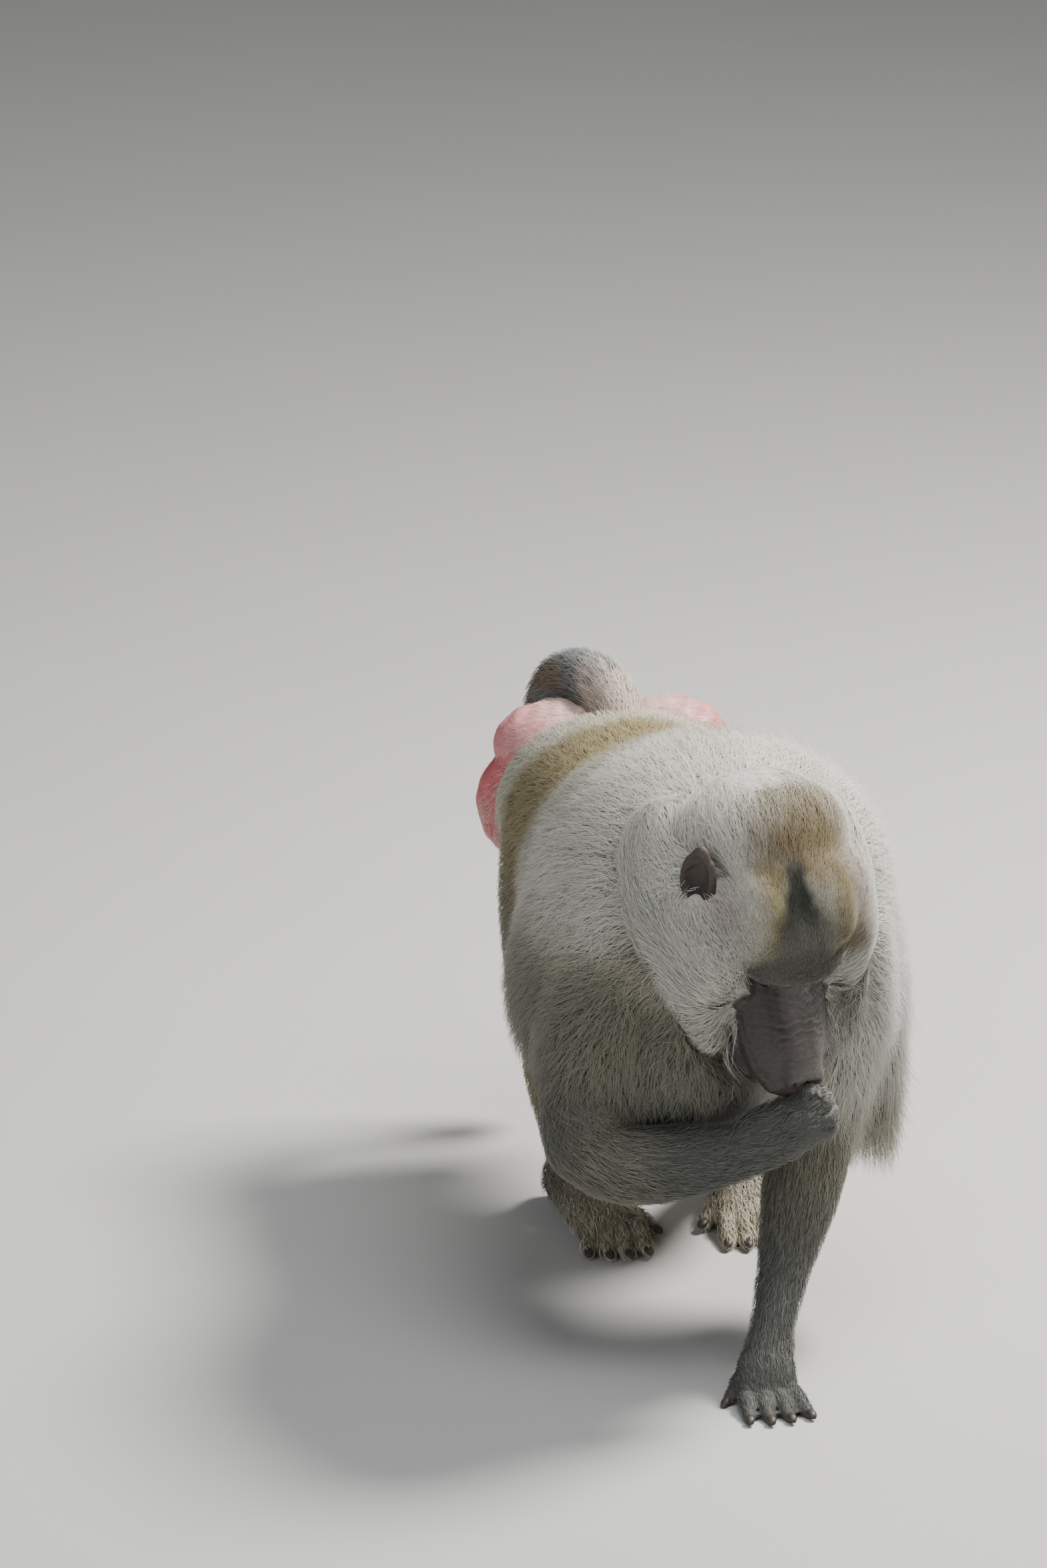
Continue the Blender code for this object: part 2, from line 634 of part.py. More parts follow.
def keep_largest(obj, ease=0.0):
    """Drops crumbs that a cut leaves, and keeps the biggest closed surface.

    `ease` is an angle in degrees: faces that differ by less become one before the mesh is
    triangulated again.
    """
    bm = bmesh.new()
    bm.from_mesh(obj.data)
    left = set(bm.faces)
    groups = []
    while left:
        seed = left.pop()
        group = [seed]
        queue = [seed]
        while queue:
            face = queue.pop()
            for edge in face.edges:
                for near in edge.link_faces:
                    if near in left:
                        left.discard(near)
                        group.append(near)
                        queue.append(near)
        groups.append(group)
    groups.sort(key=lambda faces: -sum(face.calc_area() for face in faces))
    for group in groups[1:]:
        bmesh.ops.delete(bm, geom=group, context="FACES")
    if ease:
        bmesh.ops.dissolve_limit(
            bm, angle_limit=math.radians(ease), verts=bm.verts, edges=bm.edges
        )
    bmesh.ops.triangulate(bm, faces=bm.faces)
    bmesh.ops.dissolve_degenerate(bm, dist=1e-6, edges=bm.edges)
    bm.to_mesh(obj.data)
    bm.free()


def copy_of(obj, name, target):
    made = obj.copy()
    made.data = obj.data.copy()
    made.name = name
    target.objects.link(made)
    return made


def slice_by(obj, point, direction, keep_far):
    """Cuts a closed mesh by a plane and closes the cut. The kept side stands half a gap off the plane."""
    normal = Vector(direction).normalized()
    away = normal * (GAP / 2 if keep_far else -GAP / 2)
    bm = bmesh.new()
    bm.from_mesh(obj.data)
    geom = list(bm.verts) + list(bm.edges) + list(bm.faces)
    cut = bmesh.ops.bisect_plane(
        bm,
        geom=geom,
        plane_co=Vector(point) + away,
        plane_no=normal,
        clear_inner=keep_far,
        clear_outer=not keep_far,
        dist=1e-7,
    )
    edges = [item for item in cut["geom_cut"] if isinstance(item, bmesh.types.BMEdge)]
    bmesh.ops.holes_fill(bm, edges=edges)
    bmesh.ops.triangulate(bm, faces=bm.faces)
    bmesh.ops.recalc_face_normals(bm, faces=bm.faces)
    bm.to_mesh(obj.data)
    bm.free()


def flat_below(obj):
    """Takes off what would be under the floor, so that the part rests on flats."""
    slice_by(obj, (0.0, 0.0, -GAP / 2), (0.0, 0.0, 1.0), True)


def peel(obj, name, target, helpers, low, high, matrix=None):
    """Parts a region from a mesh: the piece inside the box becomes its own object."""
    inner = box_object(name + "_in", low, high, helpers, matrix)
    margin = Vector((GAP, GAP, GAP))
    outer = box_object(name + "_out", Vector(low) - margin, Vector(high) + margin, helpers, matrix)
    piece = copy_of(obj, name, target)
    boolean(piece, inner, "INTERSECT")
    keep_largest(piece)
    boolean(obj, outer, "DIFFERENCE")
    keep_largest(obj)
    return piece


def limb(name, bm, target, faces, shoulder, wrist, near_name, far_name, sink=SINK):
    """A limb below the elbow or knee, as two sub-parts that meet at the wrist or ankle."""
    near = one_skin(name, bm, target, GRID_LIMB, faces, smooth=3)
    near.data.transform(Matrix.Translation((0.0, 0.0, -sink)))
    slice_by(near, *shoulder, True)
    far = copy_of(near, far_name, target)
    near.name = near_name
    slice_by(near, *wrist, False)
    slice_by(far, *wrist, True)
    flat_below(far)
    for obj in (near, far):
        keep_largest(obj)
    return near, far


def room_for(name, stations, grow, helpers, side=(1.0, 0.0, 0.0), sides=16):
    """A loft a little larger than a sub-part, to clear its neighbours from it."""
    bm = bmesh.new()
    add_loft(bm, grown(stations, grow), side=side, sides=sides, steps=3)
    return new_object(name, bm, helpers)


def carve_face(head, helpers, matrix):
    """Eye hollows behind their lids, nostrils and the line of the mouth."""
    for side in (-1, 1):
        centre = Vector((side * EYE[0], EYE[1], EYE[2]))
        hollow = ball_object(
            "eye_hollow", centre, (EYE_RADIUS + GAP,) * 3, helpers, matrix, level=2
        )
        boolean(head, hollow, "DIFFERENCE")
        slit = ball_object(
            "lid_slit",
            centre + Vector((side * 0.0015, -0.0100, -0.0022)),
            (0.0086, 0.0090, 0.0030),
            helpers,
            matrix,
            Matrix.Rotation(side * 0.16, 4, "Y"),
            level=2,
        )
        boolean(head, slit, "DIFFERENCE")
        nostril = ball_object(
            "nostril",
            (NOSE[0] + side * NOSTRIL_OUT, NOSE[1] - NOSTRIL_AHEAD, NOSE[2] + 0.0015),
            NOSTRIL_RADII,
            helpers,
            matrix,
            Matrix.Rotation(-side * 0.55, 4, "Y"),
            level=2,
        )
        boolean(head, nostril, "DIFFERENCE")
    path = []
    for angle in np.linspace(-1.0, 1.0, 11):
        reach = abs(angle)
        x = MOUTH[0] * (1.0 - reach**2) + MOUTH_WIDE * math.sin(angle * math.pi / 2)
        y = MOUTH[1] + MOUTH_BACK * reach**2.2
        z = MOUTH[2] + 0.004 * reach
        path.append((x, y, z))
    rows = [(x, y, z, 0.0026, 0.0013) for x, y, z in path]
    bm = bmesh.new()
    add_loft(bm, rows, side=(0.0, 0.0, 1.0), matrix=matrix, sides=6, steps=1)
    mouth = new_object("mouth_line", bm, helpers)
    boolean(head, mouth, "DIFFERENCE")
    keep_largest(head)


def add_ear(side, target, helpers, matrix):
    """A cupped ear, and the hollow that its root needs in the head."""
    name = "ear_left" if side > 0 else "ear_right"
    face = Vector((EAR_FACES[0] * side, *EAR_FACES[1:])).normalized()
    long = Vector(EAR_LONG)
    long = (long - face * long.dot(face)).normalized()
    turn = Matrix((face.cross(long), face, long)).transposed().to_4x4()
    centre = Vector((side * EAR[0], EAR[1], EAR[2]))
    ear = ball_object(name, centre, EAR_RADII, target, matrix, turn)
    cup = ball_object(
        "ear_cup",
        centre + face * 0.0085 + long * 0.002,
        (0.0135, 0.0095, 0.0200),
        helpers,
        matrix,
        turn,
        level=2,
    )
    boolean(ear, cup, "DIFFERENCE")
    keep_largest(ear)
    root = ball_object("ear_root", centre, EAR_RADII, helpers, matrix, turn, grow=0.0008)
    return ear, root


class Coat:
    """Flat tapered locks laid on the outermost of some closed meshes."""

    def __init__(self, meshes, target, seed):
        points = []
        faces = []
        for obj in meshes:
            start = len(points)
            points.extend(vertex.co.copy() for vertex in obj.data.vertices)
            faces.extend([start + k for k in face.vertices] for face in obj.data.polygons)
        self.tree = BVHTree.FromPolygons(points, faces)
        self.target = target
        self.random = np.random.default_rng(seed)

    def hit(self, start, way):
        """Where a ray first meets the skin, with the skin's outward direction there."""
        place, normal, _, _ = self.tree.ray_cast(Vector(start), Vector(way).normalized())
        if place is None:
            return None, None
        return place, normal if normal.dot(Vector(way)) < 0 else -normal

    def lay(self, start, way, lie, length, width, lift, hang=0.0, drop=0.0, probe=None):
        """One lock. Its root is where the ray meets the skin, and it bends over the skin.

        `hang` is the share of the length after which it leaves the skin and hangs freely, and
        `drop` turns it downwards along its length. With `probe` the skin below it is looked for
        along that direction, and not along the skin's own.
        """
        place, normal = self.hit(start, way)
        if place is None:
            return None
        jitter = self.random.uniform(-1.0, 1.0, 4)
        length *= 1.0 + 0.18 * jitter[0]
        width *= 1.0 + 0.15 * jitter[1]
        lift *= 1.0 + 0.30 * jitter[2]
        turn = Matrix.Rotation(0.20 * jitter[3], 3, normal)
        lie = turn @ Vector(lie).normalized()
        thick = width * 0.24
        rings = []
        at = place.copy()
        before = 0.0
        shares = ((0.0, 0.0, 0.80, 1.3), (0.34, 0.30, 1.0, 1.0), (0.70, 0.75, 0.72, 0.8), (1.0, 1.0, 0, 0))
        for share, high, wide, deep in shares:
            lie = (lie + Vector((0, 0, -1)) * drop * (share - before)).normalized()
            lie = (lie - normal * lie.dot(normal)).normalized()
            at = at + lie * length * (share - before)
            before = share
            if share > 0.0 and not (hang and share > hang):
                landed, facing = self.hit(at - (probe or -normal) * 0.06, probe or -normal)
                if landed is not None and (landed - at).length < 0.045:
                    at = landed
                    normal = (normal + facing).normalized()
            height = high * lift if share else -0.010
            centre = at + normal * height
            across = lie.cross(normal).normalized()
            rings.append((centre, across * width * wide / 2, normal * thick * deep / 2))
        return self.strip(rings)

    def strip(self, rings):
        bm = bmesh.new()
        loops = []
        for centre, across, up in rings[:-1]:
            corners = (centre + across, centre + up, centre - across, centre - up)
            loops.append([bm.verts.new(corner) for corner in corners])
        tip = bm.verts.new(rings[-1][0])
        for low, high in zip(loops, loops[1:]):
            for k in range(4):
                bm.faces.new((low[k], low[(k + 1) % 4], high[(k + 1) % 4], high[k]))
        for k in range(4):
            bm.faces.new((loops[-1][k], loops[-1][(k + 1) % 4], tip))
        bm.faces.new(loops[0][::-1])
        return new_object("lock", bm, self.target)


def in_head_room(place):
    middle, radii = HEAD_ROOM
    return sum(((place[k] - middle[k]) / radii[k]) ** 2 for k in range(3)) < 1.05


def collar_locks(coat, matrix):
    wide, tall, most, count, length, width, lift = COLLAR
    turn = matrix.to_3x3()
    for k in range(count):
        angle = math.radians(most * (2.0 * (k + coat.random.uniform(-0.1, 0.1)) / (count - 1) - 1.0))
        out = Vector((math.sin(angle), math.cos(angle), 0.0))
        start = Vector((wide * out.x, HEAD_ROOM[0][1] + tall * out.y, 0.25))
        way = turn @ Vector((0.0, 0.0, -1.0))
        lie = (turn @ out).normalized() + Vector((0.0, 0.10, -0.30))
        coat.lay(matrix @ start, way, lie, length, width, lift)


def mane_locks(coat):
    head = HEAD_AT + Vector((0.0, -0.06, -0.02))
    to_head = head_matrix().inverted()
    for row, (y, low, high, count, length, width, lift) in enumerate(MANE_ROWS):
        for k in range(count):
            share = (k + 0.25 + 0.5 * (row % 2) + coat.random.uniform(-0.15, 0.15)) / count
            angle = math.radians(low + (high - low) * share)
            way = Vector((math.sin(angle), 0.0, math.cos(angle)))
            start = Vector((0.012, y + coat.random.uniform(-0.012, 0.012), MANE_AXIS_Z)) + way * 0.4
            place, normal = coat.hit(start, -way)
            if place is None or in_head_room(to_head @ place):
                continue
            lie = (place - head).normalized() + Vector((0.0, 0.25, -0.30 - 0.35 * abs(math.sin(angle))))
            coat.lay(start, -way, lie, length, width, lift, drop=0.35)


def hanging_locks(coat, rows, hang):
    for place, lie, length, width, lift in rows:
        side = 1.0 if place[0] > 0.1 else -1.0 if place[0] < -0.1 else 0.0
        way = Vector((-side, 0.0, 0.0)) if side else Vector((0.0, 1.0, 0.0))
        coat.lay(Vector(place) - way * 0.3, way, lie, length, width, lift, hang=hang)


def head_locks(coat, matrix):
    turn = matrix.to_3x3()
    for side in (-1, 1):
        probe = (turn @ Vector((-0.70 * side, 0.10, -0.70))).normalized()
        for (x, y, z), (a, b, c), length, width, lift in WHISKERS:
            start = matrix @ Vector((x * side, y, z)) - probe * 0.10
            lie = turn @ Vector((a * side, b, c))
            coat.lay(start, probe, lie, length, width, lift, probe=probe)
    for place, lie, length, width, lift in CROWN:
        way = turn @ Vector((0.0, 0.0, -1.0))
        coat.lay(matrix @ Vector(place), way, turn @ Vector(lie), length, width, lift)


def tuft_locks(coat):
    for z, turn, length in TUFT:
        angle = math.radians(turn)
        way = Vector((math.cos(angle), math.sin(angle), 0.0))
        middle = Vector((-0.045, 0.4295, z))
        coat.lay(middle + way * 0.2, -way, (way.x * 0.05, way.y * 0.05, -1.0), length, 0.024, 0.006)


def join_locks(obj, locks, solver="EXACT"):
    step = obj.modifiers.new("locks", "BOOLEAN")
    step.operation = "UNION"
    step.operand_type = "COLLECTION"
    step.collection = locks
    step.solver = solver
    apply_modifiers(obj)
    keep_largest(obj, 2.5)


def drop_collection(made):
    for obj in list(made.objects):
        bpy.data.objects.remove(obj, do_unlink=True)
    bpy.data.collections.remove(made)


def finish(obj, shade):
    obj.data.materials.clear()
    obj.data.materials.append(shade)
    obj.data.transform(Matrix.Translation(SHIFT))
    for polygon in obj.data.polygons:
        polygon.material_index = 0


def main():
    clear_scene()
    parts = collection(NAME)
    helpers = collection(NAME + "_helpers", hidden=True)
    matrix = head_matrix()

    bm = bmesh.new()
    add_loft(bm, FOREARM_LEFT, sides=24)
    hand_on_floor(bm)
    forearm_left, hand_left = limb(
        "limb", bm, parts, FACES_LIMB, ELBOW_LEFT, WRIST_LEFT, "forearm_left", "hand_left"
    )
    bm = bmesh.new()
    add_loft(bm, UPPER_ARM_RIGHT[-2:])
    add_loft(bm, FOREARM_RIGHT, side=(0.0, 0.0, 1.0), sides=24)
    hand_at_mouth(bm)
    forearm_right, hand_right = limb(
        "limb", bm, parts, FACES_LIMB, ELBOW_RIGHT, WRIST_RIGHT, "forearm_right", "hand_right", 0.0
    )
    legs = []
    for thigh, shank, knee, foot, names in (
        (THIGH_RIGHT, SHANK_RIGHT, KNEE_RIGHT, FOOT_RIGHT, ("shank_right", "foot_right")),
        (THIGH_LEFT, SHANK_LEFT, KNEE_LEFT, FOOT_LEFT, ("shank_left", "foot_left")),
    ):
        bm = bmesh.new()
        add_loft(bm, thigh[-2:])
        add_loft(bm, shank)
        add_foot(bm, *foot)
        ankle = ((0.0, 0.0, ANKLE_Z), (0.0, 0.0, -1.0))
        legs.append(limb("limb", bm, parts, FACES_LIMB, knee, ankle, *names))

    bm = bmesh.new()
    add_loft(bm, TAIL, sides=20, steps=5)
    tail = one_skin("tail", bm, parts, 0.003, FACES_TAIL, smooth=2)
    keep_largest(tail)
    tuft = collection("tuft_locks", hidden=True)
    tuft_locks(Coat([tail], tuft, SEED + 2))
    join_locks(tail, tuft)
    drop_collection(tuft)

    bm = bmesh.new()
    head_forms(bm, matrix)
    head = one_skin("head", bm, parts, GRID_HEAD, FACES_HEAD, smooth=5)
    ears = []
    ear_roots = []
    for side in (-1, 1):
        ear, root = add_ear(side, parts, helpers, matrix)
        ears.append(ear)
        ear_roots.append(root)
    eyes = []
    for side, name in ((-1, "eye_right"), (1, "eye_left")):
        centre = (side * EYE[0], EYE[1], EYE[2])
        eyes.append(ball_object(name, centre, (EYE_RADIUS,) * 3, parts, matrix, level=2))
    bm = bmesh.new()
    body_forms(bm)
    torso = one_skin("torso", bm, parts, GRID_BODY, FACES_BODY)

    room = ball_object("head_room", *HEAD_ROOM, helpers, matrix, level=3)
    room_out = ball_object("head_room_out", *HEAD_ROOM, helpers, matrix, level=3, grow=GAP)
    seen = [copy_of(head, "seen", helpers), copy_of(torso, "seen", helpers)]
    boolean(seen[0], room, "INTERSECT")
    boolean(seen[1], room_out, "DIFFERENCE")
    whiskers = collection("whisker_locks", hidden=True)
    head_locks(Coat(seen, whiskers, SEED), matrix)
    long_hair = collection("mane_locks", hidden=True)
    coat = Coat(seen, long_hair, SEED + 1)
    collar_locks(coat, matrix)
    mane_locks(coat)
    hanging_locks(coat, FRINGE_LEFT + FRINGE_RIGHT, 0.40)
    hanging_locks(coat, RUFF, 0.0)
    for lock in list(whiskers.objects):
        copy_of(lock, "lock", long_hair)
    join_locks(head, whiskers)
    join_locks(torso, long_hair)
    for made in (whiskers, long_hair):
        drop_collection(made)

    boolean(head, room, "INTERSECT")
    keep_largest(head)
    carve_face(head, helpers, matrix)
    bm = bmesh.new()
    hand_at_mouth(bm, grow=0.0024)
    hand_room = one_skin("hand_grown", bm, helpers, GRID_LIMB, FACES_LIMB // 2, smooth=3)
    for other in [hand_room] + ear_roots:
        boolean(head, other, "DIFFERENCE")
        keep_largest(head)
    boolean(torso, room_out, "DIFFERENCE")
    rooms = [
        room_for("tail_room", TAIL, 0.0018, helpers, sides=20),
        room_for("hand_room", HAND_RIGHT_ROOM, 0.0, helpers, side=(0.0, 0.0, 1.0)),
        room_for("arm_room", FOREARM_LEFT[1:], 0.0020, helpers, sides=20),
        room_for("arm_room", FOREARM_RIGHT[1:], 0.0020, helpers, side=(0.0, 0.0, 1.0), sides=20),
        room_for("leg_room", SHANK_RIGHT[1:], 0.0020, helpers, sides=20),
        room_for("leg_room", SHANK_LEFT[1:], 0.0020, helpers, sides=20),
    ]
    for other in rooms + ear_roots:
        boolean(torso, other, "DIFFERENCE")
    for stations in (UPPER_ARM_RIGHT[-2:], FOREARM_RIGHT[:3]):
        elbow = room_for("elbow_room", stations, 0.006, helpers)
        point, direction = ELBOW_RIGHT
        slice_by(elbow, Vector(point) - Vector(direction).normalized() * GAP, direction, True)
        boolean(torso, elbow, "DIFFERENCE")
    for (point, direction), size in ((ELBOW_LEFT, 0.046), (KNEE_RIGHT, 0.070), (KNEE_LEFT, 0.070)):
        frame = plane_frame(point, direction)
        far = box_object(
            "far_side", (-size, -size, -GAP / 2), (size, size, 0.3), helpers, frame
        )
        boolean(torso, far, "DIFFERENCE")
    keep_largest(torso)

    thigh_right = peel(
        torso, "thigh_right", parts, helpers,
        (-0.30, THIGH_FRONT_Y, 0.10), (-THIGH_IN_X, RUMP_Y - 0.001, THIGH_TOP_Z),
    )
    thigh_left = peel(
        torso, "thigh_left", parts, helpers,
        (THIGH_IN_X - 0.018, THIGH_FRONT_Y, 0.10), (0.30, RUMP_Y - 0.001, THIGH_TOP_Z),
    )
    upper_arm_left = peel(
        torso, "upper_arm_left", parts, helpers,
        (0.040, -0.28, 0.15), (0.146, -0.110, ARM_TOP_Z),
    )
    upper_arm_right = peel(
        torso, "upper_arm_right", parts, helpers,
        (-0.25, -0.30, 0.10), (-0.078, -0.120, ARM_TOP_Z),
    )
    swelling_right = peel(
        torso, "swelling_right", parts, helpers,
        (-0.30, RUMP_Y, 0.20), (RUMP_MIDDLE - GAP / 2, 0.60, 0.60),
    )
    swelling_left = peel(
        torso, "swelling_left", parts, helpers,
        (RUMP_MIDDLE + GAP / 2, RUMP_Y, 0.20), (0.30, 0.60, 0.60),
    )
    mane = copy_of(torso, "mane", parts)
    slice_by(mane, (0.0, WAIST_Y, 0.0), (0.0, 1.0, 0.0), False)
    slice_by(torso, (0.0, WAIST_Y, 0.0), (0.0, 1.0, 0.0), True)
    for obj in (mane, torso):
        keep_largest(obj)

    silver = material("silver_mane", (0.62, 0.62, 0.58), 0.85)
    olive = material("olive_fur", (0.36, 0.32, 0.21), 0.85)
    grey = material("grey_fur", (0.30, 0.30, 0.27), 0.85)
    slate = material("slate_fur", (0.16, 0.16, 0.15), 0.85)
    pale = material("pale_foot_fur", (0.45, 0.42, 0.33), 0.85)
    face = material("face_skin", (0.20, 0.15, 0.14), 0.6)
    pink = material("swelling_skin", (0.62, 0.28, 0.28), 0.5)
    eye = material("eye_amber", (0.10, 0.05, 0.02), 0.1)
    for obj, shade in (
        (mane, silver), (torso, olive), (head, face), (tail, grey),
        (upper_arm_left, grey), (upper_arm_right, grey),
        (forearm_left, slate), (forearm_right, slate), (hand_left, slate), (hand_right, slate),
        (thigh_left, olive), (thigh_right, olive),
        (legs[0][0], olive), (legs[1][0], olive), (legs[0][1], pale), (legs[1][1], pale),
        (swelling_left, pink), (swelling_right, pink),
        (ears[0], face), (ears[1], face), (eyes[0], eye), (eyes[1], eye),
    ):
        finish(obj, shade)
    tidy_helpers(helpers)


main()
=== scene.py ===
"""The looks of a life-size hamadryas baboon: skins, coat, eyes, ears, claws, and a studio."""

import logging
import math
from collections.abc import Callable, Sequence
from dataclasses import dataclass, field
from enum import Enum
from functools import partial
from typing import ClassVar

import bmesh
import bpy
import numpy as np
from mathutils import Matrix, Vector
from mathutils.bvhtree import BVHTree
from mathutils.kdtree import KDTree


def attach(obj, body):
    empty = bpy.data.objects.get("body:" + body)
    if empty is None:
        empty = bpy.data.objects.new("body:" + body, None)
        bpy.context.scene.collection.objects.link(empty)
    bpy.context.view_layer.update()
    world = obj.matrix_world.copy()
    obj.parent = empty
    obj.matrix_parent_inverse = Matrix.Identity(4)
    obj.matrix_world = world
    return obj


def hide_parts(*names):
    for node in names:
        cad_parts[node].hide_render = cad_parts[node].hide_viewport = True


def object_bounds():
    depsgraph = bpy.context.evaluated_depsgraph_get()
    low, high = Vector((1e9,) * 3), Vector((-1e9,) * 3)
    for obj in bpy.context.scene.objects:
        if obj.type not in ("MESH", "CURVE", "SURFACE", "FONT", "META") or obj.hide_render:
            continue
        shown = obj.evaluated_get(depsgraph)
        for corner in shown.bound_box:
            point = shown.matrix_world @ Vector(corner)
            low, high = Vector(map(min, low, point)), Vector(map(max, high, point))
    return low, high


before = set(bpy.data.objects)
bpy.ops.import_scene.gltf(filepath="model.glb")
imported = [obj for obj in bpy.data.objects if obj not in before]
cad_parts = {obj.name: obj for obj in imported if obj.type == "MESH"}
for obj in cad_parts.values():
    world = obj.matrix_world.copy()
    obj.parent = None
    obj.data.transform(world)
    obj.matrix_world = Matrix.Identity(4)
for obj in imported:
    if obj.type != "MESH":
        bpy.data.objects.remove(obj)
CAD_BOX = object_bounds()

log = logging.getLogger("baboon")

Array = np.ndarray
Piece = bpy.types.Object
Random = np.random.Generator
Rows = tuple[tuple[float, ...], ...]
Triple = tuple[float, float, float]
Inputs = dict[str, "Wire | float | Sequence[float]"]

# Everything is shaped in the frame of the part's own numbers and then moved by this.
SHIFT = Vector((-0.0095, -0.0475, 0.0))
SEED = 20
BODY = "root"
TINT = "Coat"


def smooth(values: Array, low: float, high: float) -> Array:
    """Smooth step from 0 at low to 1 at high."""
    share = np.clip((values - low) / (high - low), 0.0, 1.0)
    return share * share * (3.0 - 2.0 * share)


def unit(vectors: Array) -> Array:
    """The vectors along the last axis, each of length one."""
    return vectors / np.maximum(np.linalg.norm(vectors, axis=-1, keepdims=True), 1e-9)


def mix(first: Array, second: Array, share: Array | float) -> Array:
    """Colours between the first and the second, by a share per point."""
    weight = np.asarray(share)[..., None] if np.ndim(share) else share
    return np.asarray(first) * (1.0 - weight) + np.asarray(second) * weight


def over(coat: tuple[Array, Array], root: Array, tip: Array, share: Array) -> tuple[Array, Array]:
    """Lays another root and tip colour over a coat's, by a share for each point."""
    return mix(coat[0], root, share), mix(coat[1], tip, share)


def dot(first: Array, second: Array) -> Array:
    """Dot product along the last axis, kept as a column."""
    return (first * second).sum(-1, keepdims=True)


def columns(*parts: Array | float) -> Array:
    """One row for each point, from a column or one number for each axis."""
    return np.stack(np.broadcast_arrays(*parts), axis=1)


def bell(*terms: tuple[Array, float, float]) -> Array:
    """One where each value is at its middle, less by its width beside it."""
    return np.exp(-sum(((value - middle) / width) ** 2 for value, middle, width in terms))


def mm(*rows: Sequence[float]) -> Rows:
    """Rows of millimetres, as metres."""
    return tuple(tuple(number / 1000.0 for number in row) for row in rows)


def chart(across: Array, up: Array, run: Array, room: float) -> Array:
    """Places on an unwrap: the turn around a middle line, and the share of its length."""
    turn = np.arctan2(across, up) / (2.0 * math.pi) + 0.5
    return columns(0.01 + 0.98 * turn, 0.02 + room * np.clip(run, 0.0, 1.0))


def muzzle_middle(y: Array) -> Array:
    """How far the muzzle's middle is from the head's, by place along the head."""
    return 0.011 * smooth(-y, 0.045, 0.155)


def mottle(points: Array, size: float, seed: int) -> Array:
    """A soft, seeded field of blotches of about this size, from -1 to 1."""
    random = np.random.default_rng(seed)
    total = np.zeros(len(points))
    for _ in range(7):
        way = random.normal(size=3)
        way *= 2.0 * math.pi / size * random.uniform(0.6, 1.5) / np.linalg.norm(way)
        total += np.sin(points @ way + random.uniform(0.0, 2.0 * math.pi))
    return np.clip(total / 3.0, -1.0, 1.0)


class Shade(Enum):
    """The animal's colours, as linear light, with a few painted light and shade: the face's lit and
    shaded copies and the furrow's charcoal.
    """

    SILVER = (0.76, 0.74, 0.665)
    SILVER_ROOT = (0.50, 0.48, 0.42)
    CREAM = (0.80, 0.735, 0.57)
    BEIGE = (0.50, 0.465, 0.365)
    GOLD = (0.160, 0.112, 0.042)
    TEMPLE = (0.38, 0.315, 0.130)
    # Painted shadow: charcoal for the forehead's middle furrow.
    GROOVE = (0.045, 0.048, 0.040)
    BROW = (0.185, 0.172, 0.148)
    AGOUTI = (0.27, 0.255, 0.195)
    AGOUTI_DARK = (0.15, 0.143, 0.108)
    SLATE = (0.095, 0.098, 0.088)
    SLATE_TIP = (0.170, 0.168, 0.152)
    OLIVE = (0.37, 0.30, 0.145)
    OLIVE_DARK = (0.20, 0.16, 0.080)
    RING = (0.62, 0.585, 0.47)
    OCHRE = (0.47, 0.38, 0.21)
    TAIL = (0.175, 0.195, 0.195)
    TAIL_SIDE = (0.20, 0.135, 0.085)
    FOOT = (0.70, 0.635, 0.48)
    FOOT_SKIN = (0.075, 0.066, 0.056)
    FACE = (0.037, 0.0285, 0.025)
    # Painted light: a lighter copy of the face skin for the muzzle's lit top.
    FACE_LIT = (0.108, 0.093, 0.086)
    # Painted shade: a darker copy of the face skin, where shade falls at the eyes, the mouth line and
    # the ear's hollow.
    FACE_DEEP = (0.028, 0.020, 0.018)
    PATCH = (0.24, 0.185, 0.175)
    EAR = (0.105, 0.075, 0.066)
    PINK = (0.68, 0.33, 0.33)
    RED = (0.60, 0.155, 0.17)
    PALE_PINK = (0.74, 0.52, 0.49)
    PAD = (0.30, 0.20, 0.20)
    PUPIL = (0.004, 0.004, 0.004)
    IRIS = (0.42, 0.20, 0.05)
    IRIS_DARK = (0.22, 0.085, 0.018)
    IRIS_RIM = (0.030, 0.014, 0.008)
    EYEBALL = (0.20, 0.13, 0.09)
    HORN = (0.060, 0.048, 0.038)

    @property
    def rgb(self) -> Array:
        """The colour as an array."""
        return np.array(self.value)


@dataclass(frozen=True)
class Place:
    """The head's place in the body: the middle between the ear holes, its turns and its size."""

    at: Triple = (0.036, -0.248, 0.486)
    yaw: float = 16.0
    pitch: float = 63.0
    size: float = 1.08

    @property
    def matrix(self) -> Matrix:
        """From the head's own frame to the body's."""
        turn = Matrix.Rotation(math.radians(self.yaw), 4, "Z")
        turn = turn @ Matrix.Rotation(math.radians(self.pitch), 4, "X")
        return Matrix.Translation(self.at) @ turn @ Matrix.Scale(self.size, 4)

    def inward(self, points: Array) -> Array:
        """Points of the body's frame, in the head's own."""
        back = np.array(self.matrix.inverted())
        return points @ back[:3, :3].T + back[:3, 3]

    def turned(self, ways: Array) -> Array:
        """Directions of the head's frame, in the body's."""
        turn = np.array(self.matrix)[:3, :3] / self.size
        return ways @ turn.T


HEAD = Place()


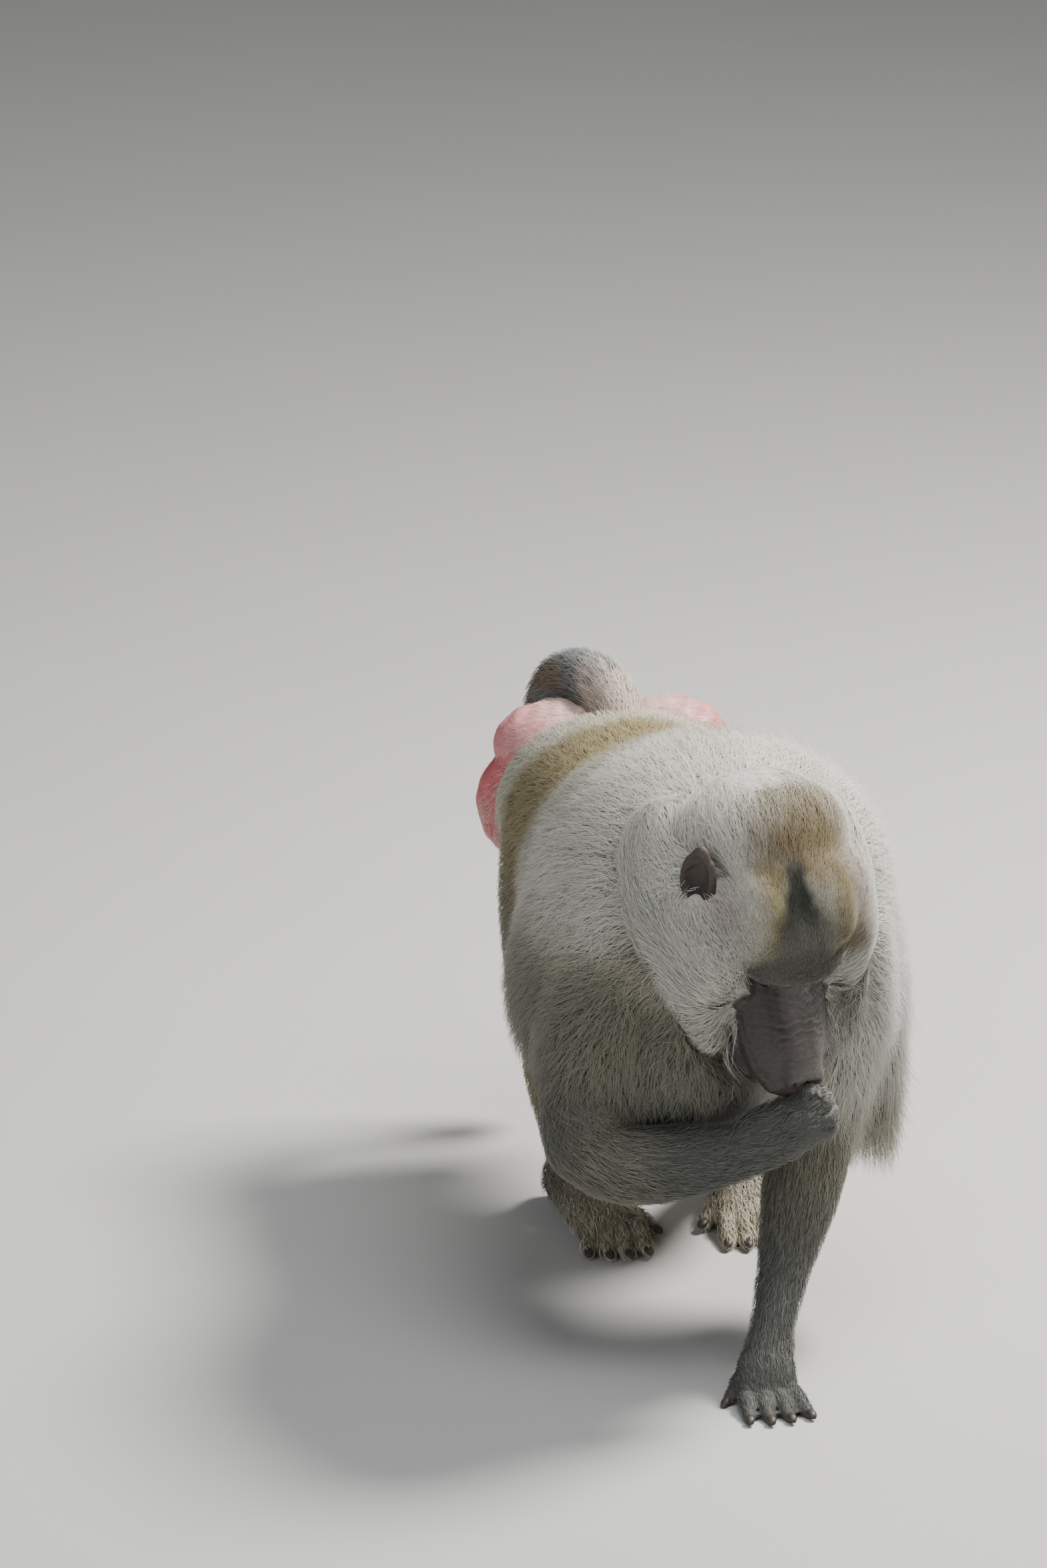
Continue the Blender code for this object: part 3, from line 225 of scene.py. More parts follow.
class Spine:
    """A line through a limb, used for the lie of its coat and for its unwrap."""

    def __init__(self, stations: Sequence[Sequence[float]]) -> None:
        """Takes the first three numbers of each station.

        Args:
            stations: the stations of a loft, root first.
        """
        self.knots = np.array([row[:3] for row in stations], dtype=float)
        self.ways = unit(np.diff(self.knots, axis=0))
        self.lengths = np.linalg.norm(np.diff(self.knots, axis=0), axis=1)

    def nearest(self, points: Array) -> tuple[Array, Array, Array, Array]:
        """Where each point stands beside the line.

        Args:
            points: places, one a row.

        Returns:
            The distance, the line's direction, the length along it and the offset from it.
        """
        best = np.full(len(points), np.inf)
        way = np.zeros((len(points), 3))
        along = np.zeros(len(points))
        offset = np.zeros((len(points), 3))
        start = 0.0
        for knot, direction, length in zip(self.knots, self.ways, self.lengths):
            reach = np.clip((points - knot) @ direction, 0.0, length)
            away = points - knot - reach[:, None] * direction
            far = np.linalg.norm(away, axis=1)
            closer = far < best
            best = np.where(closer, far, best)
            way[closer] = direction
            along = np.where(closer, start + reach, along)
            offset[closer] = away[closer]
            start += length
        return best, way, along, offset


class Forms:
    """Closed lofts and balls in one bmesh, which a fine remesh then joins to one skin."""

    # A toe's thickness along its length, with two knuckles.
    toe_thickness: Rows = (
        (0.0, 1.0), (0.25, 0.97), (0.42, 1.06), (0.6, 0.88), (0.74, 0.93), (0.9, 0.84), (1.0, 0.70),
    )

    def __init__(self, matrix: Matrix | None = None) -> None:
        """Starts empty.

        Args:
            matrix: the frame that every form is given in.
        """
        self.bm = bmesh.new()
        self.matrix = matrix or Matrix.Identity(4)

    @staticmethod
    def between(stations: Sequence[Sequence[float]], steps: int) -> Array:
        """Stations with more in between, so that a loft bends without corners.

        Args:
            stations: place, half width and half height of each.
            steps: how many rows each span becomes.

        Returns:
            The rows, with three more at each end that close it like half a ball.
        """
        rows = np.array(stations, dtype=float)
        ends = np.vstack([2 * rows[0] - rows[1], rows, 2 * rows[-1] - rows[-2]])
        path = []
        for a, b, c, d in zip(ends, ends[1:], ends[2:], ends[3:]):
            for step in range(steps):
                t = step / steps
                bend = (2 * a - 5 * b + 4 * c - d) * t * t + (3 * b - a - 3 * c + d) * t**3
                path.append(0.5 * (2 * b + (c - a) * t + bend))
        path.append(rows[-1])
        out = []
        for scale, along in ((0.40, 0.92), (0.66, 0.75), (0.89, 0.45)):
            out.append(Forms.cap_row(path[0], path[1], scale, along))
        out.extend(path)
        for scale, along in ((0.89, 0.45), (0.66, 0.75), (0.40, 0.92)):
            out.append(Forms.cap_row(path[-1], path[-2], scale, along))
        return np.array(out)

    @staticmethod
    def cap_row(end: Array, inner: Array, scale: float, along: float) -> Array:
        """One row of a rounded end, beyond the last station."""
        row = end.copy()
        row[:3] += unit(end[:3] - inner[:3]) * along * min(end[3], end[4])
        row[3:] *= scale
        return row

    def loft(
        self,
        stations: Sequence[Sequence[float]],
        side: Triple = (1.0, 0.0, 0.0),
        sides: int = 24,
        steps: int = 4,
    ) -> None:
        """Adds a closed loft: a ring is extruded from station to station.

        Args:
            stations: place, half width along `side` and half height across it.
            side: the direction of the half width.
            sides: the number of points in a ring.
            steps: rows in each span.
        """
        rows = self.between(stations, steps)
        ways = unit(np.gradient(rows[:, :3], axis=0))
        frames = []
        for row, way in zip(rows, ways):
            across = unit(np.array(side) - way * (np.array(side) @ way))
            other = np.cross(way, across)
            place = np.eye(4)
            place[:3, 0] = across * row[3]
            place[:3, 1] = other * row[4]
            place[:3, 2] = way * 0.01
            place[:3, 3] = row[:3]
            frames.append(self.matrix @ Matrix(place.tolist()))
        ring = bmesh.ops.create_circle(
            self.bm, cap_ends=True, radius=1.0, segments=sides, matrix=frames[0]
        )["verts"]
        edges = list({edge for vert in ring for edge in vert.link_edges})
        for before, after in zip(frames, frames[1:]):
            made = bmesh.ops.extrude_edge_only(self.bm, edges=edges)["geom"]
            ring = [item for item in made if isinstance(item, bmesh.types.BMVert)]
            members = set(ring)
            edges = [
                item
                for item in made
                if isinstance(item, bmesh.types.BMEdge) and set(item.verts) <= members
            ]
            bmesh.ops.transform(self.bm, matrix=after @ before.inverted(), verts=ring)
        bmesh.ops.edgeloop_fill(self.bm, edges=edges)

    def ball(
        self, centre: Sequence[float], radii: Sequence[float], turn: Matrix | None = None
    ) -> None:
        """Adds a ball squeezed to three radii."""
        place = Matrix.Translation(Vector(centre)) @ (turn or Matrix.Identity(4))
        place = self.matrix @ place @ Matrix.Diagonal((*radii, 1.0))
        bmesh.ops.create_icosphere(self.bm, subdivisions=4, radius=1.0, matrix=place)

    def toe(self, base: Sequence[float], tip: Sequence[float], lift: float, radius: float) -> None:
        """Adds a finger or toe with knuckles, which arches and comes down on its tip.

        Args:
            base: where it leaves the palm or sole.
            tip: where it ends.
            lift: how far its middle stands up.
            radius: its half width at the root.
        """
        start = np.array(base, dtype=float)
        end = np.array(tip, dtype=float)
        rows = []
        for t, thick in self.toe_thickness:
            point = start + (end - start) * t
            point[2] += lift * math.sin(math.pi * min(1.0, t * 1.25)) * (1.0 - t)
            rows.append((*point, radius * thick, radius * thick * 0.92))
        self.loft(rows, sides=14, steps=3)

    def skin(self, name: str, voxel: float, ease: int) -> Piece:
        """Joins the forms to one closed skin.

        Args:
            name: the piece's name.
            voxel: the grid of the remesh.
            ease: how many times it is smoothed.

        Returns:
            The new object.
        """
        bmesh.ops.recalc_face_normals(self.bm, faces=self.bm.faces)
        obj = new_piece(name, self.bm)
        remesh(obj, voxel, ease)
        return obj

    def cut_from(self, obj: Piece) -> None:
        """Takes the forms' room out of a closed mesh."""
        cutter = new_piece("cutter", self.bm)
        step = obj.modifiers.new("carve", "BOOLEAN")
        step.operation = "DIFFERENCE"
        step.object = cutter
        step.solver = "MANIFOLD"
        apply_modifiers(obj)
        bpy.data.objects.remove(cutter, do_unlink=True)


def new_piece(name: str, bm: bmesh.types.BMesh) -> Piece:
    """Makes an object of a bmesh and frees the bmesh."""
    mesh = bpy.data.meshes.new(name)
    bm.to_mesh(mesh)
    bm.free()
    obj = bpy.data.objects.new(name, mesh)
    bpy.context.scene.collection.objects.link(obj)
    return obj


def apply_modifiers(obj: Piece) -> None:
    """Puts the result of an object's modifiers in its mesh."""
    graph = bpy.context.evaluated_depsgraph_get()
    mesh = bpy.data.meshes.new_from_object(obj.evaluated_get(graph))
    obj.modifiers.clear()
    obj.data = mesh


def remesh(obj: Piece, voxel: float, ease: int) -> None:
    """Makes a mesh anew on a grid of this size, and smooths it this many times."""
    join = obj.modifiers.new("join", "REMESH")
    join.mode = "VOXEL"
    join.voxel_size = voxel
    soften = obj.modifiers.new("ease", "SMOOTH")
    soften.iterations = ease
    apply_modifiers(obj)


def drop_crumbs(obj: Piece) -> None:
    """Keeps only the largest closed surface of a mesh."""
    bm = bmesh.new()
    bm.from_mesh(obj.data)
    bm.verts.ensure_lookup_table()
    seen: set[bmesh.types.BMVert] = set()
    groups = []
    for vert in bm.verts:
        if vert in seen:
            continue
        group = [vert]
        seen.add(vert)
        for one in group:
            for edge in one.link_edges:
                other = edge.other_vert(one)
                if other not in seen:
                    seen.add(other)
                    group.append(other)
        groups.append(group)
    groups.sort(key=len)
    for group in groups[:-1]:
        bmesh.ops.delete(bm, geom=group, context="VERTS")
    bm.to_mesh(obj.data)
    bm.free()


class Surface:
    """A finished skin as arrays, for moving its points and for rooting hair on it."""

    def __init__(self, obj: Piece) -> None:
        """Reads the mesh of an object."""
        self.obj = obj
        self.read()

    def read(self) -> None:
        """Reads points, normals and triangles again."""
        mesh = self.obj.data
        count = len(mesh.vertices)
        flat = np.empty(count * 3)
        mesh.vertices.foreach_get("co", flat)
        self.points = flat.reshape(-1, 3).copy()
        mesh.vertices.foreach_get("normal", flat)
        self.normals = unit(flat.reshape(-1, 3).copy())
        mesh.calc_loop_triangles()
        corners = np.empty(len(mesh.loop_triangles) * 3, np.int32)
        mesh.loop_triangles.foreach_get("vertices", corners)
        self.triangles = corners.reshape(-1, 3)
        self.tree: BVHTree | None = None
        self.facing = unit(self.normals[self.triangles].mean(1))

    def move(self, offsets: Array) -> None:
        """Moves each point by its row of offsets, and reads the mesh again."""
        self.obj.data.vertices.foreach_set("co", (self.points + offsets).ravel())
        self.obj.data.update()
        self.read()

    def push(self, depths: Array) -> None:
        """Moves each point along its normal, outward where the depth is more than zero."""
        self.move(self.normals * depths[:, None])

    def paint(self, colours: Array) -> None:
        """Writes a colour for each point."""
        layer = self.obj.data.color_attributes.get(TINT)
        if layer is None:
            layer = self.obj.data.color_attributes.new(TINT, "FLOAT_COLOR", "POINT")
        alpha = np.ones((len(colours), 1))
        layer.data.foreach_set("color", np.hstack([np.clip(colours, 0.0, 1.0), alpha]).ravel())

    def closest(self, points: Array) -> tuple[Array, Array]:
        """The nearest place on the skin to each point, and the skin's direction there.

        Args:
            points: places, one a row.

        Returns:
            Places on the skin and outward directions.
        """
        if self.tree is None:
            self.tree = BVHTree.FromPolygons(self.points.tolist(), self.triangles.tolist())
        places = np.empty((len(points), 3))
        faces = np.empty(len(points), np.int64)
        find = self.tree.find_nearest
        for k, point in enumerate(points.tolist()):
            places[k], _, faces[k], _ = find(point)
        return places, self.facing[faces]

    def depth(self, points: Array) -> Array:
        """How far each point is outside the skin; less than zero inside."""
        places, ways = self.closest(points)
        return ((points - places) * ways).sum(1)

    def roots(
        self, count: int, density: Callable[[Array, Array], Array], random: Random
    ) -> tuple[Array, Array]:
        """Places spread over the skin.

        Args:
            count: how many.
            density: gives the share of hair at points with normals, from 0 to 1.
            random: the source of the scatter.

        Returns:
            Places and outward directions.
        """
        corners = self.points[self.triangles]
        ways = self.normals[self.triangles]
        edges = corners[:, 1:] - corners[:, :1]
        area = np.linalg.norm(np.cross(edges[:, 0], edges[:, 1]), axis=1)
        weight = area * np.clip(density(corners.mean(1), self.facing), 0.0, None)
        sums = np.cumsum(weight)
        picks = (np.arange(count) + random.uniform(0.0, 1.0, count)) / count * sums[-1]
        chosen = np.minimum(np.searchsorted(sums, picks), len(sums) - 1)
        a, b = random.uniform(0.0, 1.0, (2, count))
        fold = a + b > 1.0
        a = np.where(fold, 1.0 - a, a)
        b = np.where(fold, 1.0 - b, b)
        shares = np.stack([1.0 - a - b, a, b], axis=1)[:, :, None]
        order = random.permutation(count)
        places = (corners[chosen] * shares).sum(1)[order]
        return places, unit((ways[chosen] * shares).sum(1))[order]


@dataclass(frozen=True)
class Cut:
    """How the hair of one region is cut and curled.

    Each number is the same for every hair, or one for each in an array.
    """

    length: Array | float
    width: Array | float
    lift: Array | float
    knots: int = 4
    wave: Array | float = 0.0
    wavelength: float = 0.03
    droop: float = 0.25
    stray: float = 0.16
    clump: float = 0.0
    clump_size: int = 10
    hang: Array | float = 2.0
    thick: float = 0.45


class Coat:
    """Tapered ridges of hair rooted on a skin, joined to pieces."""

    # A piece of the coat stays under this many triangles.
    most: int = 190_000
    # How deep a hair starts, how far it still follows the skin, and what may lie below a root.
    root_depth: float = 0.0018
    hold: float = 0.03
    below: float = 0.002
    # How far the coat may stand past the solids' box, below and above, and over the floor.
    past_low: Triple = (0.004, 0.006, 0.0)
    past_high: Triple = (0.004, 0.006, 0.008)
    floor: float = 0.0012
    # The size of a hair's patch on the unwrap.
    patch: tuple[float, float] = (0.0014, 0.0028)

    def __init__(
        self,
        skin: Surface,
        seed: int,
        others: Sequence[Surface] = (),
        axis: tuple[Triple, Triple] | None = None,
    ) -> None:
        """Takes the skin that the hair grows from.

        Args:
            skin: the skin.
            seed: the start of its scatter.
            others: skins that the hair may walk onto; no hair is rooted below them.
            axis: the ends of a line inside the body, around which the coat is shaded as round.
        """
        self.axis = axis
        self.skin = skin
        self.others = others
        self.random = np.random.default_rng(seed)

    def ground(self, at: Array) -> tuple[Array, Array]:
        """The outermost skin near each point, and its direction there."""
        places, facing = self.skin.closest(at)
        for other in self.others:
            spots, ways = other.closest(places)
            below = (((places - spots) * ways).sum(1) < 0.0)[:, None]
            places = np.where(below, spots, places)
            facing = np.where(below, ways, facing)
        return places, facing

    def comb(self, roots: Array, normals: Array, lie: Array, cut: Cut) -> tuple[Array, Array]:
        """Lays hairs over the skin.

        Args:
            roots: where the hairs start.
            normals: outward directions there.
            lie: the way that they point.
            cut: their length, lift and curl.

        Returns:
            The middle line of each hair and the skin's direction below it: hairs, knots, three.
        """
        random = self.random
        count = len(roots)
        length = np.broadcast_to(cut.length, (count,)) * random.uniform(0.78, 1.18, count)
        lift = np.broadcast_to(cut.lift, (count,)) * random.uniform(0.65, 1.35, count)
        hang = np.broadcast_to(cut.hang, (count,))
        way = unit(lie - normals * dot(lie, normals))
        side = np.cross(normals, way)
        angle = random.normal(0.0, cut.stray, count)[:, None]
        way = way * np.cos(angle) + side * np.sin(angle)
        at = roots.copy()
        normal = normals.copy()
        path = [roots - normals * self.root_depth]
        sides = [side]
        ups = [normal]
        spans = cut.knots - 1
        down = np.array((0.0, 0.0, -1.0))
        for knot in range(1, cut.knots):
            share = knot / spans
            free = (hang < share)[:, None]
            way = unit(way + down * cut.droop / spans)
            level = unit(way - normal * dot(way, normal))
            way = np.where(free, way, level)
            at = at + way * (length / spans)[:, None]
            places, facing = self.ground(at)
            near = (np.linalg.norm(places - at, axis=1) < self.hold)[:, None] & ~free
            at = np.where(near, places, at)
            normal = np.where(near, unit(normal + facing), normal)
            path.append(at + normal * (lift * share**0.75)[:, None])
            sides.append(np.cross(normal, way))
            ups.append(normal)
        line = np.stack(path, axis=1)
        across = unit(np.stack(sides, axis=1))
        up = unit(np.stack(ups, axis=1))
        shares = np.linspace(0.0, 1.0, cut.knots)
        tie = self.ties(roots, cut) if cut.clump else None
        if np.any(cut.wave):
            phase = random.uniform(0.0, 2.0 * math.pi, (2, count))
            if tie is not None:
                phase = phase[:, tie] + random.normal(0.0, 0.5, (2, count))
            size = np.broadcast_to(cut.wave, (count,)) * random.uniform(0.4, 1.4, count)
            turns = 2.0 * math.pi * shares[None, :] * length[:, None] / cut.wavelength
            swing = np.sin(turns + phase[0][:, None]) * shares**0.8
            bob = np.sin(turns * 0.8 + phase[1][:, None]) * shares**0.8
            line = line + across * (swing * size[:, None])[..., None]
            line = line + up * (bob * size[:, None] * 0.6)[..., None]
        if tie is not None:
            pull = (cut.clump * shares**1.4)[None, :, None]
            line = line + (line[tie] - line) * pull
        return self.inside(line), up

    def ties(self, roots: Array, cut: Cut) -> Array:
        """The hair that each hair gathers to: itself, for a lock's own middle hair."""
        leads = self.random.choice(len(roots), max(1, len(roots) // cut.clump_size), replace=False)
        tree = KDTree(len(leads))
        for k, lead in enumerate(leads):
            tree.insert(roots[lead], k)
        tree.balance()
        return np.array([leads[tree.find(root)[1]] for root in roots])

    @classmethod
    def inside(cls, line: Array) -> Array:
        """Keeps hair above the floor and near the part's own box."""
        low = np.array(CAD_BOX[0] - SHIFT) - np.array(cls.past_low)
        high = np.array(CAD_BOX[1] - SHIFT) + np.array(cls.past_high)
        low[2] = cls.floor
        return np.clip(line, low, high)

    def weave(
        self, name: str, line: Array, facing: Array, cut: Cut, tints: Array, unwrap: Array
    ) -> list[Piece]:
        """Makes the hairs' mesh: each is a tapered ridge, three points to a ring.

        Args:
            name: the pieces' name, before a number.
            line: middle lines: hairs, knots, three.
            facing: the skin's outward direction below each knot.
            cut: the cut, for width and thickness.
            tints: colours: hairs, knots, three.
            unwrap: the roots' places on the unwrap.

        Returns:
            The pieces.
        """
        count, knots = line.shape[:2]
        way = unit(np.gradient(line, axis=1))
        across = unit(np.cross(way, facing[:, :1]))
        up = np.cross(across, way)
        half = np.broadcast_to(cut.width, (count,))[:, None] * 0.5
        taper = (1.0 - np.linspace(0.0, 1.0, knots))[None, :] ** 0.75 * 0.92 + 0.08
        reach = (half * taper)[..., None]
        ridge = line + up * reach * 2.0 * cut.thick
        rings = np.stack([line + across * reach, ridge, line - across * reach], axis=2)
        body = rings[:, :-1].reshape(count, (knots - 1) * 3, 3)
        points = np.concatenate([body, line[:, -1:]], axis=1)
        shades = np.repeat(tints[:, :-1], 3, axis=1)
        shades = np.concatenate([shades, tints[:, -1:]], axis=1)
        # The hair is shaded mostly as the coat's surface is, so that it looks soft and not wiry.
        soft = unit(facing * 1.6 + up * 0.6)
        if self.axis is not None:
            start, end = (np.array(place) for place in self.axis)
            run = np.clip((line - start) @ (end - start) / ((end - start) @ (end - start)), 0.0, 1.0)
            soft = unit(soft + unit(line - start - run[..., None] * (end - start)) * 0.6)
        turned = np.stack([soft + across * 0.35, soft, soft - across * 0.35], axis=2)
        turned = unit(turned[:, :-1].reshape(count, (knots - 1) * 3, 3))
        shading = np.concatenate([turned, soft[:, -1:]], axis=1)
        quads = [
            (ring + 3 + k, ring + 3 + (k + 1) % 3, ring + (k + 1) % 3, ring + k)
            for ring in range(0, (knots - 2) * 3, 3)
            for k in range(2)
        ]
        last = (knots - 2) * 3
        ends = [(last + (k + 1) % 3, last + k, last + 3) for k in range(2)]
        triangles = len(quads) * 2 + len(ends)
        batch = self.most // triangles
        pieces = []
        for number, start in enumerate(range(0, count, batch)):
            part = slice(start, min(count, start + batch))
            arrays = (points[part], shades[part], unwrap[part])
            made = self.mesh(f"{name}_{number + 1}", *arrays, quads, ends)
            layer = made.data.attributes.new("custom_normal", "FLOAT_VECTOR", "POINT")
            layer.data.foreach_set("vector", shading[part].ravel())
            pieces.append(made)
        log.info("%s: %d hairs, %d triangles", name, count, count * triangles)
        return pieces

    @classmethod
    def mesh(
        cls,
        name: str,
        points: Array,
        shades: Array,
        unwrap: Array,
        quads: list[tuple[int, ...]],
        ends: list[tuple[int, ...]],
    ) -> Piece:
        """Makes one joined mesh of many small ridges from arrays.

        Args:
            name: the piece's name.
            points: ridges, points in each, three.
            shades: a colour for each point.
            unwrap: one place on the unwrap for each ridge.
            quads: four-sided faces of one ridge.
            ends: three-sided faces of one ridge.

        Returns:
            The piece.
        """
        count, per = points.shape[:2]
        one = np.concatenate([np.array(quads).ravel(), np.array(ends).ravel()])
        loops = (one[None, :] + (np.arange(count) * per)[:, None]).ravel()
        sizes = np.array([4] * len(quads) + [3] * len(ends))
        starts = np.concatenate([[0], np.cumsum(sizes)[:-1]])
        starts = (starts[None, :] + (np.arange(count) * len(one))[:, None]).ravel()
        mesh = bpy.data.meshes.new(name)
        mesh.vertices.add(count * per)
        mesh.vertices.foreach_set("co", points.ravel())
        mesh.loops.add(len(loops))
        mesh.loops.foreach_set("vertex_index", loops)
        mesh.polygons.add(len(starts))
        mesh.polygons.foreach_set("loop_start", starts)
        mesh.update(calc_edges=True)
        layer = mesh.color_attributes.new(TINT, "FLOAT_COLOR", "POINT")
        alpha = np.ones((count * per, 1))
        tints = np.clip(shades.reshape(-1, 3), 0.0, 1.0)
        layer.data.foreach_set("color", np.hstack([tints, alpha]).ravel())
        within = np.zeros((per, 2))
        within[:, 0] = (np.arange(per) % 3 - 1) * cls.patch[0]
        within[:, 1] = (np.arange(per) // 3 / (per // 3) - 0.5) * cls.patch[1]
        spots = (unwrap[:, None, :] + within[None, :, :]).reshape(-1, 2)
        layer = mesh.uv_layers.new(name="OFBake")
        layer.data.foreach_set("uv", np.clip(spots, 0.0, 1.0)[loops].ravel())
        obj = bpy.data.objects.new(name, mesh)
        bpy.context.scene.collection.objects.link(obj)
        return obj

    def grow(
        self,
        name: str,
        count: int,
        density: Callable[[Array, Array], Array],
        lie: Callable[[Array, Array], Array],
        cut: Callable[[Array], Cut],
        tint: Callable[[Array, Array, Random], Array],
        unwrap: Callable[[Array], Array],
    ) -> list[Piece]:
        """Roots, combs, colours and makes the hair of one region.

        Args:
            name: the pieces' name.
            count: how many hairs.
            density: share of hair at points with normals.
            lie: direction at points with normals.
            cut: the cut at points.
            tint: colours at points, for shares along the hair.
            unwrap: places on the unwrap.

        Returns:
            The pieces.
        """
        roots, normals = self.skin.roots(int(count * 1.6), density, self.random)
        kept = np.ones(len(roots), dtype=bool)
        for other in self.others:
            kept &= other.depth(roots) > -self.below
        roots, normals = roots[kept][:count], normals[kept][:count]
        style = cut(roots)
        line, facing = self.comb(roots, normals, lie(roots, normals), style)
        tints = tint(line[:, 1], np.linspace(0.0, 1.0, style.knots), self.random)
        return self.weave(name, line, facing, style, tints, unwrap(roots))


# Roots are given darker than tips: partly the hair's own banding, partly painted shade deep in the
# coat.
def along(root: Array, tip: Array, shares: Array, power: float = 1.0) -> Array:
    """Colours that run from root to tip: hairs, knots, three."""
    weight = (shares**power)[None, :, None]
    return root[:, None, :] * (1.0 - weight) + tip[:, None, :] * weight


def speckle(colours: Array, random: Random, amount: float) -> Array:
    """Makes each hair a little lighter or darker than its neighbours."""
    gain = np.exp(random.normal(0.0, amount, len(colours)))
    return colours * gain.reshape((-1,) + (1,) * (colours.ndim - 1))


@dataclass(frozen=True)
class Stations:
    """The body's lofts: x, y, z, half width and half height at each station."""

    trunk: Rows = mm(
        (18, -205, 420, 90, 110), (16, -175, 412, 122, 138), (12, -100, 410, 142, 145),
        (4, 0, 400, 142, 130), (-4, 100, 398, 136, 113), (-10, 200, 402, 132, 104),
        (-13, 275, 402, 128, 95), (-13, 320, 400, 108, 82),
    )
    mane: Rows = mm(
        (28, -236, 478, 90, 75), (24, -205, 462, 128, 110), (14, -130, 438, 162, 146),
        (10, -30, 424, 164, 142), (5, 50, 411, 154, 125), (0, 120, 404, 141, 113),
        (-4, 175, 402, 126, 100),
    )
    neck: Rows = mm(
        (34, -240, 495, 62, 64), (28, -200, 480, 90, 90), (20, -140, 450, 110, 110),
    )
    chest: Rows = mm(
        (-20, -200, 370, 60, 60), (-22, -184, 315, 88, 68), (-15, -140, 288, 92, 68),
        (-5, -70, 292, 80, 60),
    )
    cape_left: Rows = mm(
        (135, -120, 430, 40, 70), (156, -110, 340, 34, 78), (164, -115, 270, 22, 62),
        (166, -122, 215, 14, 42),
    )
    cape_right: Rows = mm(
        (-120, -100, 430, 40, 70), (-142, -90, 350, 34, 75), (-146, -80, 290, 22, 60),
    )
    thigh_right: Rows = mm(
        (-80, 245, 405, 58, 85), (-98, 175, 345, 54, 82), (-108, 110, 282, 46, 58),
        (-108, 78, 240, 38, 40),
    )
    thigh_left: Rows = mm(
        (56, 245, 405, 58, 85), (78, 180, 345, 54, 82), (96, 120, 282, 46, 58),
        (100, 88, 240, 39, 41),
    )
    upper_arm_left: Rows = mm(
        (108, -195, 430, 50, 62), (116, -185, 350, 46, 56), (108, -168, 280, 42, 46),
        (102, -166, 245, 41, 43),
    )
    upper_arm_right: Rows = mm(
        (-78, -160, 420, 54, 62), (-108, -174, 345, 52, 60), (-126, -188, 272, 44, 48),
        (-127, -194, 232, 41, 42),
    )
    shank_right: Rows = mm(
        (-108, 75, 240, 35, 35), (-102, 118, 190, 36, 40), (-92, 160, 130, 29, 31),
        (-81, 198, 70, 22, 24), (-79, 208, 42, 22, 24),
    )
    shank_left: Rows = mm(
        (100, 85, 240, 36, 36), (98, 128, 190, 37, 41), (92, 172, 130, 29, 31),
        (86, 208, 70, 22, 24), (85, 218, 42, 22, 24),
    )
    forearm_left: Rows = mm(
        (102, -166, 250, 40, 42), (90, -182, 205, 41, 42), (77, -202, 160, 37, 36),
        (58, -232, 108, 27, 26), (43, -262, 68, 23, 21), (36, -278, 48, 25, 19),
    )
    forearm_right: Rows = mm(
        (-126, -192, 230, 40, 40), (-102, -208, 218, 41, 40), (-62, -226, 218, 39, 37),
        (-2, -256, 236, 31, 30), (36, -280, 257, 25, 23), (50, -288, 267, 25, 21),
    )
    tail: Rows = mm(
        (-10, 292, 468, 26, 26), (-13, 322, 488, 28, 28), (-28, 352, 503, 30, 30),
        (-50, 384, 500, 27, 27), (-66, 412, 476, 21, 21), (-72, 430, 430, 18, 18),
        (-70, 438, 370, 16, 16), (-62, 438, 310, 15, 15), (-52, 434, 250, 16, 16),
        (-46, 430, 200, 18, 18), (-44, 428, 160, 10, 10),
    )
    # Swollen skin of one side of the rump: centre from the middle plane, and radii.
    lobes: Rows = mm(
        (58, 338, 444, 60, 44, 44), (94, 334, 386, 42, 48, 52), (60, 342, 336, 50, 44, 38),
        (36, 352, 385, 46, 34, 60), (40, 378, 352, 26, 16, 30),
    )
    rump_middle: float = -0.013


BUILD = Stations()


